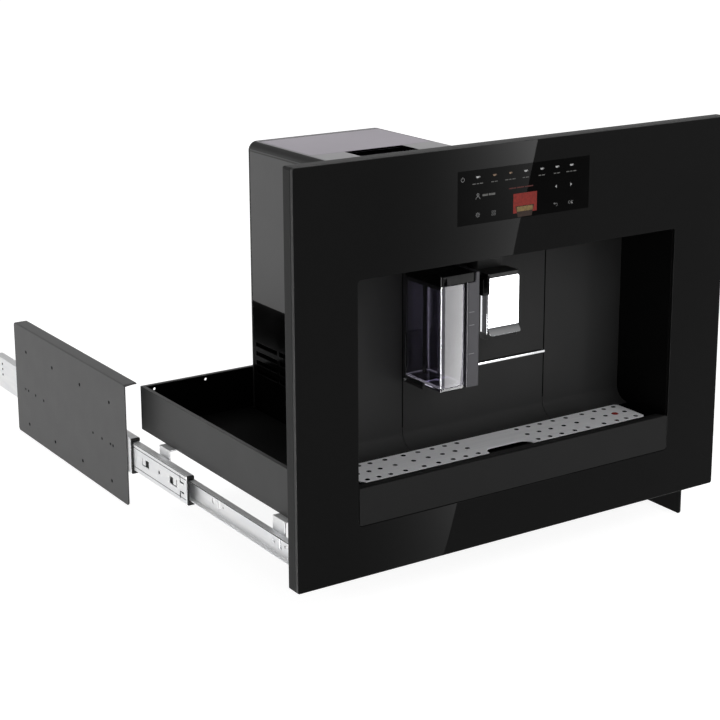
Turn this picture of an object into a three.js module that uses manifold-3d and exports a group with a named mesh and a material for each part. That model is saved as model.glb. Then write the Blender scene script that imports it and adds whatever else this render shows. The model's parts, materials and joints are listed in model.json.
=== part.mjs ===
// Built-in coffee machine on telescopic ball slides, drawn as it stands before it goes into its cabinet:
// the left cabinet plate is drawn back on its slide, the right one is home behind the front panel.
// Millimetres. X runs along the panel, Y from the panel's front into the cabinet, Z up.
// The pieces are drawn from the panel's front face and lower edge; the last lines move the origin.
import * as THREE from "three";
import { mergeVertices } from "three/addons/utils/BufferGeometryUtils.js";
import Module from "manifold-3d";

const wasm = await Module();
wasm.setup();

// ---------------------------------------------------------------- driving dimensions
const seatGap = 0.3; // left between pieces that touch
const arcSteps = 3; // half the facets on a rounded corner

// Front panel
const panelWidth = 595;
const panelHeight = 455;
const panelCorner = 3;
const glassThickness = 4;
const glassChamfer = 1;
const frameDepth = 14;
const frameSkin = 3;
const frameRim = 5;
const panelDepth = glassThickness + frameDepth;

// Touch display, centred behind the glass
const displayWidth = 190;
const displayHeight = 66;
const displayDepth = 9;
const displayBelow = 37; // bare height under it and over it: their proportion stays
const displayAbove = 22.5;

// Dispensing bay
const bayWidth = 440;
const bayTop = 329.5;
const displayFoot =
  bayTop +
  ((panelHeight - bayTop - displayHeight) * displayBelow) / (displayBelow + displayAbove);
const displayCentre = displayFoot + displayHeight / 2;
const baySill = 58.5;
const bayDepth = 91; // panel front to back wall
const bayWall = 2.5;
const bayCorner = 4;
const coveRadius = 18;

// Housing behind the panel
const housingWidth = 203;
const housingTop = 402.5;
const housingBack = 434;
const housingWall = 3;
const housingRound = 12;
const coverSplit = 197; // upper cover above, black base housing below
const rearCoverThickness = 3;

// Service lid and finger slot in the housing's top
const lidWidth = 179;
const lidFront = 303.5;
const lidBack = 425.5;
const lidSkirt = 6;
const lidRearGap = 1.4; // room for the rear edge to swing past the cover
const lidPin = 3;
const lidPinInset = 4; // the hinge line in front of the lid's rear edge
const lidPinReach = 3;
const lidLedge = 3;
const fingerWidth = 84;
const fingerDepth = 38;
const fingerDrop = 9;

// Side door to the brew unit
const doorFront = 120;
const doorBack = 290;
const doorBottom = 206;
const doorTop = 384;

// Bean hopper, grinder and water tank under the lid
const hopperWidth = 78;
const hopperTop = 392;
const hopperFloor = 318;
const hopperOutlet = 36;
const grinderDiameter = 70;
const grinderHeight = 66;
const knobDiameter = 26;
const knobHeight = 12;
const tankWidth = 86;
const tankBottom = 215;
const tankWall = 2;

// Brew unit, boiler and pump, and the frame that carries what stands above the bin
const brewWidth = 82;
const brewDiameter = 60;
const brewLength = 120;
const boilerDiameter = 78;
const boilerLength = 110;
const boilerStart = 240;
const pumpDiameter = 46;
const pumpLength = 120;
const frameSheet = 2;
const frameLegWidth = 14;
const frameLegs = [212, 408];
const runnerWidth = 4;

// Vents and mains socket
const louvreLength = 52;
const louvreHeight = 5;
const louvrePitch = 12;
const louvreMiddle = 122;
const louvreStations = [340, 398];
const ventWidth = 64;
const ventHeight = 4;
const ventPitch = 10;
const ventMiddle = 290;
const socketPlace = [50, 130];
const socketWidth = 28;
const socketHeight = 20;

// Open sheet-metal base tray
const trayWidth = 516;
const trayBack = 444;
const trayBottom = 49;
const trayHeight = 57;
const sheet = 1.5;
const trayHem = 4;
const trayHole = 4;
const trayHoleDrop = 7; // below the wall's upper edge
const trayHoleInset = 19;
const trayHolePitch = 166;

// Drip tray, grounds bin and perforated grid
const dripFrontTop = 101.5;
const dripLipDepth = 18.5;
const dripFrontThickness = 3;
const gridWidth = 405;
const gridDepth = 53.5;
const gridTop = 99;
const gridSheet = 1.2;
const gridCorner = 4;
const holeDiameter = 5;
const rowPitch = 20.3;
const columnPitches = [43.2, 17.4, 17.5, 19.7, 19.8, 24.9, 19.9, 14.8, 15.2]; // outwards from the centre
const notchWidth = 64;
const notchDepth = 13;
const floatDiameter = 7.4;
const floatClearance = 0.6;
const floatColumn = 7; // the eighth column out, on the right
const floatBody = 15.4;
const floatBodyHeight = 18;
const wellWall = 2;
const wellHeight = 7;
const basinWall = 2;
const binWidth = 196;
const binLength = 110;
const binWall = 2;
const trimHeight = 3.4;
const trimLine = bayTop - 150;
const trimProud = 2.5;

// Milk container
const milkLeft = 0.2 - housingWidth / 2;
const milkFront = 18.8;
const milkTop = bayTop - 28.5;
const milkBottom = milkTop - 119;
const milkClearWidth = 35.4;
const milkStripWidth = 17;
const milkWall = 2;
const milkLidHeight = 11;
const milkRiserWidth = 5.8; // the strip's part that stands beside the lid
const milkGroove = 2;
const milkLedgeDepth = 36;
const milkLedgeHeight = 3; // how far the ledge reaches up into the jug's foot
const milkShelfDrop = 6; // the shelf's underside below the jug
const milkLedgeSpan = [milkLeft + 2, milkLeft + milkClearWidth];
const suctionDiameter = 5;

// Height-adjustable spout
const spoutFront = 39;
const spoutWidth = 43.2;
const spoutTop = bayTop - 34;
const spoutCrease = spoutTop - 57.5;
const spoutLip = spoutCrease - 8;
const spoutFlare = 6;
const spoutPlate = 1.6;
const spoutSideDepth = 12;
const spoutCap = 4.5;
const spoutBodyBottom = spoutLip - 3;
const spoutBack = 65.5;
const nozzleDiameter = 9;
const nozzleLength = 2;
const nozzleSpacing = 18;
const nozzleBore = 4.5;
const inletHeight = 20;
const inletWidth = 9.7;
const inletProud = 3; // in front of the cover's face
const guideWidth = 26;

// Telescopic ball slides, one on each side
const cabinetWidth = 562;
const slideHeight = 20; // centre line above the panel's lower edge
const slideLength = 450;
const middleLength = 430;
const slideStart = 20;
const memberStep = 2; // how far each closed member stands behind the next one in
const slideThickness = 12.7;
const outerHeight = 46;
const middleHeight = 36.4;
const innerHeight = 25.5;
const gauge = 1.2;
const raceLip = 3.6;
const ballDiameter = 3.2;
const ballPitch = 24;
const cageStrip = 0.8;
const innerCageLength = 160;
const innerCageStart = 150;
const innerBallInset = 7.4; // from the cabinet plate's inner face
const outerCageLength = 230;
const outerCageStart = 105;
const outerBallInset = 6.4;
const stopCap = 3;
const stopTongue = 5;
const leftMiddleDrawn = 266; // left middle rail out of the inner rail, as photographed
const leftOuterDrawn = 142; // left outer rail out of the middle rail, as photographed
const innerRailSlots = [85, 225, 360]; // screw slots, from the panel's front
const screwSlot = [5, 12];
const screwHole = 7;
const middleTabs = [40, 105]; // square holes, from the start of each half
const tabHole = 9;
const outerRailHoles = [56, 81, 270, 322]; // from the rail's front end

// Cabinet plates and the brackets that hang the slides from the tray
const plateHeight = 160;
const plateLength = 358;
const plateBottom = -49;
const plateSetback = 10; // behind the outer rail's front
const plateFlange = 18;
const plateCorner = 5;
const plateHole = 5;
const plateHolePitch = 90;
const plateHoleRows = 106;
const plateHoleRise = 56; // the upper row above the slide's centre line
const plateHoleShift = 3.5;
const plateRivets = [40, 48, 73, 101, 262, 290, 315, 325]; // from the plate's front edge
const bracketWidth = 26;
const bracketFoot = 30;
const bracketGauge = 2;
const bracketStations = [78, 353];

// ---------------------------------------------------------------- tools for shapes and solids
const turnXToY = new THREE.Matrix4().makeBasis(
  new THREE.Vector3(0, 1, 0),
  new THREE.Vector3(0, 0, 1),
  new THREE.Vector3(1, 0, 0),
);

/** A closed three.js geometry as a solid that can be joined and cut. */
function solid(geometry) {
  const bare = geometry.index ? geometry.toNonIndexed() : geometry.clone();
  for (const name of Object.keys(bare.attributes)) {
    if (name !== "position") bare.deleteAttribute(name);
  }
  const merged = mergeVertices(bare, 1e-4);
  return new wasm.Manifold(
    new wasm.Mesh({
      numProp: 3,
      vertProperties: new Float32Array(merged.attributes.position.array),
      triVerts: new Uint32Array(merged.index.array),
    }),
  );
}

/** A solid's surface as a three.js geometry. */
function surface(body) {
  const mesh = body.getMesh();
  const geometry = new THREE.BufferGeometry();
  const positions = new Float32Array(mesh.numVert * 3);
  for (let i = 0; i < mesh.numVert; i++) {
    positions.set(mesh.vertProperties.subarray(i * mesh.numProp, i * mesh.numProp + 3), i * 3);
  }
  geometry.setAttribute("position", new THREE.BufferAttribute(positions, 3));
  geometry.setIndex(new THREE.BufferAttribute(new Uint32Array(mesh.triVerts), 1));
  geometry.computeVertexNormals();
  return geometry;
}

/** A block between two corners. */
function block([x0, x1], [y0, y1], [z0, z1]) {
  const geometry = new THREE.BoxGeometry(x1 - x0, y1 - y0, z1 - z0);
  return solid(geometry.translate((x0 + x1) / 2, (y0 + y1) / 2, (z0 + z1) / 2));
}

/** A round bar along an axis, from one end to the other. */
function bar(axis, centre, from, to, diameter, sides = 16) {
  const geometry = new THREE.CylinderGeometry(diameter / 2, diameter / 2, to - from, sides);
  const middle = (from + to) / 2;
  if (axis === "x") geometry.rotateZ(Math.PI / 2).translate(middle, centre[0], centre[1]);
  if (axis === "y") geometry.translate(centre[0], middle, centre[1]);
  if (axis === "z") geometry.rotateX(Math.PI / 2).translate(centre[0], centre[1], middle);
  return solid(geometry);
}

/** A closed outline through points. */
function outline(points) {
  return new THREE.Shape(points.map(([x, y]) => new THREE.Vector2(x, y)));
}

/** A rectangle whose corners are rounded: radii for the lower and the upper pair. */
function roundedRectangle([x0, x1], [y0, y1], lower, upper = lower) {
  const shape = new THREE.Shape();
  const corner = (x, y, radius, start) => {
    if (radius > 0) shape.absarc(x, y, radius, start, start + Math.PI / 2, false);
    else shape.lineTo(x, y);
  };
  shape.moveTo(x0 + lower, y0);
  corner(x1 - lower, y0 + lower, lower, -Math.PI / 2);
  corner(x1 - upper, y1 - upper, upper, 0);
  corner(x0 + upper, y1 - upper, upper, Math.PI / 2);
  corner(x0 + lower, y0 + lower, lower, Math.PI);
  return shape;
}

/** An outline in (X, Z), pushed along Y. */
function alongY(shape, [y0, y1], options = {}) {
  const geometry = new THREE.ExtrudeGeometry(shape, {
    depth: y1 - y0,
    bevelEnabled: false,
    curveSegments: arcSteps,
    ...options,
  });
  return solid(geometry.rotateX(Math.PI / 2).translate(0, y1, 0));
}

/** An outline in (X, Y), pushed along Z. */
function alongZ(shape, [z0, z1]) {
  const settings = { depth: z1 - z0, bevelEnabled: false, curveSegments: arcSteps };
  return solid(new THREE.ExtrudeGeometry(shape, settings).translate(0, 0, z0));
}

/** An outline in (Y, Z), pushed along X. */
function alongX(shape, [x0, x1]) {
  const settings = { depth: x1 - x0, bevelEnabled: false, curveSegments: arcSteps };
  return solid(new THREE.ExtrudeGeometry(shape, settings).applyMatrix4(turnXToY).translate(x0, 0, 0));
}

/** Every cut taken out of a body. */
function cut(body, cuts) {
  return cuts.reduce((rest, tool) => rest.subtract(tool), body);
}

/** Bodies joined into one. */
function join(...bodies) {
  return bodies.reduce((whole, next) => whole.add(next));
}

/** Evenly spaced places, centred on a middle value. */
function spaced(count, pitch, middle = 0) {
  return Array.from({ length: count }, (_, i) => middle + (i - (count - 1) / 2) * pitch);
}

/** A span from minus to plus half a width. */
function across(width) {
  return [-width / 2, width / 2];
}

const assembly = new THREE.Group();

/** A named piece with its own finish, added to the machine. */
function piece(name, body, color, roughness, metalness = 0, extra = {}) {
  const material = new THREE.MeshStandardMaterial({ color, roughness, metalness, ...extra });
  const mesh = new THREE.Mesh(surface(body), material);
  mesh.name = name;
  assembly.add(mesh);
  return mesh;
}

const black = 0x171717;
const darkGrey = 0x2c2c2c;
const sheetBlack = 0x3a3a3a;
const galvanised = 0xb9bcc0;
const chrome = 0xd8dadd;

// ---------------------------------------------------------------- front panel
function frontPanel() {
  const face = roundedRectangle(across(panelWidth), [0, panelHeight], panelCorner);
  face.holes.push(roundedRectangle(across(bayWidth), [baySill, bayTop], bayCorner));
  const ground = {
    bevelEnabled: true,
    bevelSegments: 1,
    bevelThickness: glassChamfer,
    bevelSize: glassChamfer,
    bevelOffset: -glassChamfer,
  };
  const glass = alongY(face, [glassChamfer, glassThickness - glassChamfer], ground);
  piece("front_glass", glass, black, 0.08);

  // A moulded frame: a skin behind the glass, and a deep rim round its edge and round the bay.
  const frameFront = glassThickness + seatGap;
  const throat = bayWall + seatGap;
  const bayHole = [across(bayWidth + 2 * throat), [baySill - throat, bayTop + throat]];
  const frame = roundedRectangle(across(panelWidth), [0, panelHeight], panelCorner);
  frame.holes.push(roundedRectangle(bayHole[0], bayHole[1], 0));
  const pocket = roundedRectangle(
    across(panelWidth - 2 * frameRim),
    [frameRim, panelHeight - frameRim],
    0,
  );
  const collar = frameRim - 1;
  pocket.holes.push(
    roundedRectangle(
      across(bayWidth + 2 * throat + 2 * collar),
      [bayHole[1][0] - collar, bayHole[1][1] + collar],
      0,
    ),
  );
  const moulding = alongY(frame, [frameFront, panelDepth]).subtract(
    alongY(pocket, [frameFront + frameSkin, panelDepth + 1]),
  );
  const window = block(
    across(displayWidth + 2 * seatGap),
    [frameFront - 1, panelDepth],
    [displayCentre - displayHeight / 2 - seatGap, displayCentre + displayHeight / 2 + seatGap],
  );
  piece("front_frame", moulding.subtract(window), 0x3a3a3a, 0.5);

  // The touch display with its circuit board, let into the frame's window.
  const screen = block(
    across(displayWidth),
    [frameFront, frameFront + displayDepth - 2],
    [displayCentre - displayHeight / 2, displayCentre + displayHeight / 2],
  );
  const board = block(
    across(displayWidth - 16),
    [frameFront + displayDepth - 2.5, frameFront + displayDepth],
    [displayCentre - displayHeight / 2 + 6, displayCentre + displayHeight / 2 - 6],
  );
  const connector = block(
    across(40),
    [frameFront + displayDepth - 0.5, frameFront + displayDepth + 4],
    [displayCentre - 6, displayCentre + 4],
  );
  piece("touch_display", join(screen, board, connector), 0x0d0d0d, 0.3);
}

// ---------------------------------------------------------------- dispensing bay
/** The back wall's section in (Y, Z): upright above, and a cove that runs forward at the foot. */
function coveSection(top) {
  const foot = gridTop + seatGap;
  const shape = new THREE.Shape();
  shape.moveTo(bayDepth, top);
  shape.lineTo(bayDepth, foot + coveRadius);
  shape.absarc(bayDepth - coveRadius, foot + coveRadius, coveRadius, 0, -Math.PI / 2, true);
  shape.lineTo(bayDepth - coveRadius, foot - bayWall + 0.2);
  shape.absarc(
    bayDepth - coveRadius,
    foot + coveRadius,
    coveRadius + bayWall - 0.2,
    -Math.PI / 2,
    0,
    false,
  );
  shape.lineTo(bayDepth + bayWall - 0.2, top);
  return shape;
}

function dispensingBay() {
  const liner = roundedRectangle(
    across(bayWidth + 2 * bayWall),
    [baySill - bayWall, bayTop + bayWall],
    bayCorner + bayWall,
  );
  liner.holes.push(roundedRectangle(across(bayWidth), [baySill, bayTop], bayCorner));
  piece(
    "bay_liner",
    alongY(liner, [glassThickness + seatGap, bayDepth + bayWall]),
    0x1b1b1b,
    0.45,
  );

  const sideEdge = bayWidth / 2 - seatGap;
  const seam = housingWidth / 2 + seatGap;
  const sideWall = coveSection(bayTop - seatGap);
  const wallBand = roundedRectangle(across(2 * sideEdge), [0, bayTop - seatGap], 0, bayCorner);
  const corners = alongY(wallBand, [0, 2 * bayDepth]);
  const leftWall = alongX(sideWall, [-sideEdge, -seam]).intersect(corners);
  const rightWall = alongX(sideWall, [seam, sideEdge]).intersect(corners);
  piece("left_back_panel", leftWall, darkGrey, 0.4);
  piece("right_back_panel", rightWall, darkGrey, 0.4);

  // The column's upper half carries the spout's guide and the milk container's ledge.
  const columnFoot = trimLine + trimHeight / 2 + seatGap;
  const columnSpan = across(housingWidth);
  const column = block(columnSpan, [bayDepth, bayDepth + bayWall], [columnFoot, bayTop - seatGap]);
  const slot = block(
    across(guideWidth - 8),
    [bayDepth - 1, bayDepth + bayWall + 1],
    [spoutBodyBottom + 20, bayTop - 12],
  );
  piece("column_panel", column.subtract(slot), darkGrey, 0.4);

  const guideFront = spoutBack + seatGap;
  const guideHead = across(guideWidth + 8);
  const guide = join(
    block(across(guideWidth), [guideFront, bayDepth - seatGap], [spoutBodyBottom + 12, bayTop - 1]),
    block(guideHead, [guideFront, guideFront + 6], [spoutBodyBottom + 12, bayTop - 1]),
  );
  piece("spout_guide", guide, 0x0c0c0c, 0.5);

  const ledgeTop = milkBottom + milkLedgeHeight - seatGap;
  const ledgeBack = bayDepth - seatGap;
  const ledge = join(
    block(milkLedgeSpan, [bayDepth - milkLedgeDepth, ledgeBack], [columnFoot, ledgeTop]),
    block(milkLedgeSpan, [ledgeBack - 2.2, ledgeBack], [ledgeTop - 1, ledgeTop + 50]),
  );
  piece("milk_ledge", ledge, 0x0c0c0c, 0.4);
}

// ---------------------------------------------------------------- drip tray, grounds bin and grid
const gridFront = dripLipDepth + seatGap + 0.2;

function dripTray() {
  const plateSpan = across(bayWidth - 1.4);
  const lowerEdge = baySill + 0.5;
  const front = alongY(
    roundedRectangle(plateSpan, [lowerEdge, dripFrontTop], bayCorner - 0.5, 1.5),
    [0, dripFrontThickness],
  );
  const lipSection = outline([
    [1, dripFrontTop],
    [dripLipDepth, gridTop],
    [dripLipDepth, gridTop - 3],
    [1, dripFrontTop - 5],
  ]);
  const lip = alongX(lipSection, [plateSpan[0] + 1, plateSpan[1] - 1]);
  piece("drip_front", join(front, lip), darkGrey, 0.4);

  const basinTop = gridTop - gridSheet - seatGap;
  const basinFront = dripLipDepth + seatGap;
  const basinBack = bayDepth - coveRadius - seatGap;
  const basinFloor = baySill + seatGap;
  const outer = alongZ(
    roundedRectangle(across(gridWidth + 4), [basinFront, basinBack], gridCorner),
    [basinFloor, basinTop],
  );
  const ledgeWidth = 3;
  const inner = alongZ(
    roundedRectangle(
      across(gridWidth + 4 - 2 * (basinWall + ledgeWidth)),
      [basinFront + basinWall + ledgeWidth, basinBack - basinWall - ledgeWidth],
      gridCorner,
    ),
    [basinTop - 5, basinTop + 1],
  );
  const hollow = alongZ(
    roundedRectangle(
      across(gridWidth + 4 - 2 * basinWall),
      [basinFront + basinWall, basinBack - basinWall],
      gridCorner - 1,
    ),
    [basinFloor + basinWall, basinTop - 3],
  );
  const [wellX, wellY] = floatPlace();
  const wellDiameter = floatBody + 2 * floatClearance;
  const wellFloor = basinFloor + basinWall;
  const wellTop = wellFloor + wellHeight;
  const wellWidth = wellDiameter + 2 * wellWall;
  const well = bar("z", [wellX, wellY], wellFloor - 0.5, wellTop, wellWidth, 16).subtract(
    bar("z", [wellX, wellY], wellFloor, wellTop + 1, wellDiameter, 16),
  );
  piece("drip_basin", join(cut(outer, [inner, hollow]), well), 0x151515, 0.5);

  // The bin for coffee grounds stands behind the wall, and its front is the column's lower half.
  const trimFoot = trimLine - trimHeight / 2;
  const binFront = alongX(coveSection(trimFoot - seatGap), across(housingWidth));

  // A shelf on it continues the milk container's ledge downwards, in front of the trim.
  const shelfFoot = milkBottom - milkShelfDrop;
  const shelfBack = bayDepth - trimProud - seatGap;
  const shelf = join(
    block(
      milkLedgeSpan,
      [bayDepth - milkLedgeDepth, shelfBack],
      [shelfFoot, trimLine + trimHeight / 2],
    ),
    block(milkLedgeSpan, [shelfBack - 1, bayDepth + 1], [shelfFoot, trimFoot - seatGap]),
  );
  piece("grounds_bin_front", join(binFront, shelf), darkGrey, 0.4);
  const trimSpan = [bayDepth - trimProud, bayDepth + bayWall];
  const trim = block(across(housingWidth), trimSpan, [trimFoot, trimLine + trimHeight / 2]);
  piece("column_trim", trim, chrome, 0.08, 1);

  const binY = [bayDepth + bayWall + seatGap, bayDepth + bayWall + seatGap + binLength];
  const binZ = [baySill + seatGap, trimFoot - 4];
  const draft = 6;
  const binOuter = alongZ(roundedRectangle(across(binWidth), binY, 6), binZ);
  const binHollow = alongZ(
    roundedRectangle(
      across(binWidth - 2 * binWall),
      [binY[0] + binWall, binY[1] - binWall],
      draft,
    ),
    [binZ[0] + binWall, binZ[1] + 1],
  );
  piece("grounds_bin", binOuter.subtract(binHollow), 0x101010, 0.5);
}

/** Distances of the grid's hole columns from its centre. */
function gridColumns() {
  let reach = 0;
  return columnPitches.map((pitch) => (reach += pitch));
}

/** Where the level float stands: in the middle row of holes. */
function floatPlace() {
  return [gridColumns()[floatColumn], gridFront + gridDepth / 2];
}

function dripGrid() {
  const front = gridFront;
  const middle = front + gridDepth / 2;
  const plate = roundedRectangle(across(gridWidth), [front, front + gridDepth], gridCorner);
  const columns = gridColumns();
  const round = (x, y, diameter) => {
    const hole = new THREE.Path();
    hole.absarc(x, y, diameter / 2, 0, 2 * Math.PI, true);
    return hole;
  };
  for (const y of spaced(3, rowPitch, middle)) {
    for (const x of columns.flatMap((reach) => [-reach, reach])) {
      const isFloat = x === columns[floatColumn] && y === middle;
      plate.holes.push(round(x, y, isFloat ? floatDiameter + 2 * floatClearance : holeDiameter));
    }
  }
  const settings = { depth: gridSheet, bevelEnabled: false, curveSegments: 4 };
  const sheetMetal = solid(
    new THREE.ExtrudeGeometry(plate, settings).translate(0, 0, gridTop - gridSheet),
  );
  const notch = alongZ(
    roundedRectangle(across(notchWidth), [front - notchDepth, front + notchDepth], notchDepth - 1),
    [gridTop - 2 * gridSheet, gridTop + 1],
  );
  piece("drip_grid", sheetMetal.subtract(notch), 0xa8abae, 0.35, 1);

  const floatFoot = baySill + basinWall + 2 * seatGap;
  const stem = bar("z", floatPlace(), floatFoot, gridTop + 0.6, floatDiameter, 12);
  const buoy = bar("z", floatPlace(), floatFoot, floatFoot + floatBodyHeight, floatBody, 16);
  piece("level_float", join(stem, buoy), 0xc22a1e, 0.4);
}

// ---------------------------------------------------------------- milk container
function milkContainer() {
  const back = bayDepth - 3;
  const clearX = [milkLeft, milkLeft + milkClearWidth];
  const outer = alongZ(roundedRectangle(clearX, [milkFront, back], 3), [milkBottom, milkTop]);
  const hollow = alongZ(
    roundedRectangle(
      [clearX[0] + milkWall, clearX[1] - milkWall],
      [milkFront + milkWall, back - milkWall],
      2,
    ),
    [milkBottom + milkLedgeHeight + milkWall, milkTop + 1],
  );
  const underCut = block(
    [clearX[0] - 1, clearX[1] + 1],
    [bayDepth - milkLedgeDepth - seatGap, back + 1],
    [milkBottom - 1, milkBottom + milkLedgeHeight],
  );
  const jug = cut(outer, [hollow, underCut]);
  piece("milk_jug", jug, 0x8d8a96, 0.05, 0, { transparent: true, opacity: 0.4 });

  // The strip carries the milk to the spout. Its right side rises beside the lid and holds the outlet.
  const stripX = [clearX[1] + seatGap, clearX[1] + seatGap + milkStripWidth];
  const riserX = [stripX[1] - milkRiserWidth, stripX[1]];
  const lidTopLevel = milkTop + milkLidHeight;
  const tall = alongZ(roundedRectangle(stripX, [milkFront, back], 2), [milkBottom, lidTopLevel]);
  const lidRoom = block(
    [stripX[0] - 1, riserX[0]],
    [milkFront - 1, back + 1],
    [milkTop, lidTopLevel + 1],
  );
  const core = block(
    [stripX[0] + 2, stripX[1] - 2],
    [milkFront + 2, back - 2],
    [milkBottom + 2, milkTop - 2],
  );
  const outletPlace = [milkFront + 26, milkTop + milkLidHeight / 2];
  const outlet = bar("x", outletPlace, riserX[0] - 1, riserX[1] + 1, suctionDiameter, 10);
  const channel = block(
    [riserX[0] + 2, riserX[1] - 2],
    [outletPlace[0] - 1, outletPlace[0] + 1],
    [milkTop - 3, outletPlace[1]],
  );
  piece("milk_side_housing", cut(tall, [lidRoom, core, outlet, channel]), 0x3e3d42, 0.35);

  const lidZ = [milkTop + seatGap, lidTopLevel];
  const lidX = [clearX[0], riserX[0] - seatGap];
  const lidTop = alongZ(roundedRectangle(lidX, [milkFront, back], 3), lidZ);
  const plug = alongZ(
    roundedRectangle(
      [clearX[0] + milkWall + 0.4, clearX[1] - milkWall - 0.4],
      [milkFront + milkWall + 0.4, back - milkWall - 0.4],
      2,
    ),
    [milkTop - 5, lidZ[0] + 1],
  );
  const tubePlace = [clearX[0] + milkClearWidth / 2, back - 16];
  const tube = bar("z", tubePlace, milkBottom + 8, milkTop, suctionDiameter, 10);
  const gripWidth = 12;
  const grip = block(
    [clearX[0] - 1, clearX[0] + 2],
    [milkFront + 20, milkFront + 20 + gripWidth],
    [lidZ[0] - 1, lidZ[0] + 3],
  );
  const grooveStart = clearX[0] + 3 * milkGroove;
  const groove = block(
    [grooveStart, grooveStart + milkGroove],
    [milkFront - 1, milkFront + 1.2],
    [lidZ[0] - 1, lidZ[1] - milkGroove],
  );
  piece("milk_lid", cut(join(lidTop, plug, tube), [grip, groove]), 0x0e0e0e, 0.25);
}

// ---------------------------------------------------------------- spout
function spout() {
  const back = spoutFront + spoutPlate;
  const section = outline([
    [spoutFront, spoutTop],
    [spoutFront, spoutCrease],
    [spoutFront - spoutFlare, spoutLip],
    [spoutFront - spoutFlare + spoutPlate, spoutLip],
    [back, spoutCrease - 1],
    [back, spoutTop],
  ]);
  const faceShape = roundedRectangle(across(spoutWidth), [spoutLip, spoutTop], 3);
  const cover = alongX(section, across(spoutWidth)).intersect(alongY(faceShape, [0, bayDepth]));
  piece("spout_cover", cover, chrome, 0.05, 1);

  const coreWidth = spoutWidth - 4;
  const coreTop = spoutTop + spoutCap;
  const core = block(across(coreWidth), [back + seatGap, spoutBack], [spoutBodyBottom, spoutTop]);
  const cap = alongZ(
    roundedRectangle(across(spoutWidth), [spoutFront, spoutBack], 3),
    [spoutTop + seatGap, coreTop],
  );
  const neck = block(across(coreWidth), [back + seatGap, spoutBack], [spoutTop - 1, coreTop - 1]);
  const nozzles = spaced(2, nozzleSpacing).map((x) =>
    bar("z", [x, back + 9], spoutBodyBottom - nozzleLength, spoutBodyBottom + 1, nozzleDiameter, 14),
  );
  const bores = spaced(2, nozzleSpacing).map((x) =>
    bar("z", [x, back + 9], spoutBodyBottom - nozzleLength - 1, spoutBodyBottom + 6, nozzleBore, 10),
  );
  piece("spout_body", cut(join(core, neck, cap, ...nozzles), bores), 0x0d0d0d, 0.4);

  for (const [name, side] of [["left", -1], ["right", 1]]) {
    const inner = coreWidth / 2 + seatGap;
    const span = [side * inner, (side * spoutWidth) / 2].sort((a, b) => a - b);
    const low = spoutBodyBottom - 3;
    const high = name === "left" ? spoutTop - 18 : spoutTop;
    const start = back + seatGap + 0.4;
    const trim = block(span, [start, start + spoutSideDepth], [low, high]);
    piece(`spout_${name}_trim`, trim, chrome, 0.08, 1);
  }

  // The milk inlet stands beside the cover and a little in front of it.
  const inletRight = -spoutWidth / 2 - seatGap;
  const inletZ = [spoutTop + 2 - inletHeight, spoutTop + 2];
  const inlet = alongY(
    roundedRectangle([inletRight - inletWidth, inletRight], inletZ, 0, 3),
    [spoutFront - inletProud, spoutBack - 8],
  );
  const neckPiece = block(
    [inletRight - 1, -coreWidth / 2 - seatGap],
    [back + seatGap, spoutBack - 8],
    [inletZ[0], spoutTop],
  );
  const pipeEnd = inletRight - inletWidth;
  const pipe = bar("x", [back + 8, spoutTop - 7], pipeEnd - 3, pipeEnd + 1, 7, 10);
  piece("milk_inlet", join(inlet, neckPiece, pipe), 0x0d0d0d, 0.3);
}

// ---------------------------------------------------------------- housing
const lidGap = 0.4;
const compartmentFront = lidFront + 3;
const compartmentBack = lidBack - 4;
const hingeLine = [lidBack - lidPinInset, housingTop - housingWall];
const knuckleWidth = 6;
const shelfTop = tankBottom - seatGap;

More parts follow.
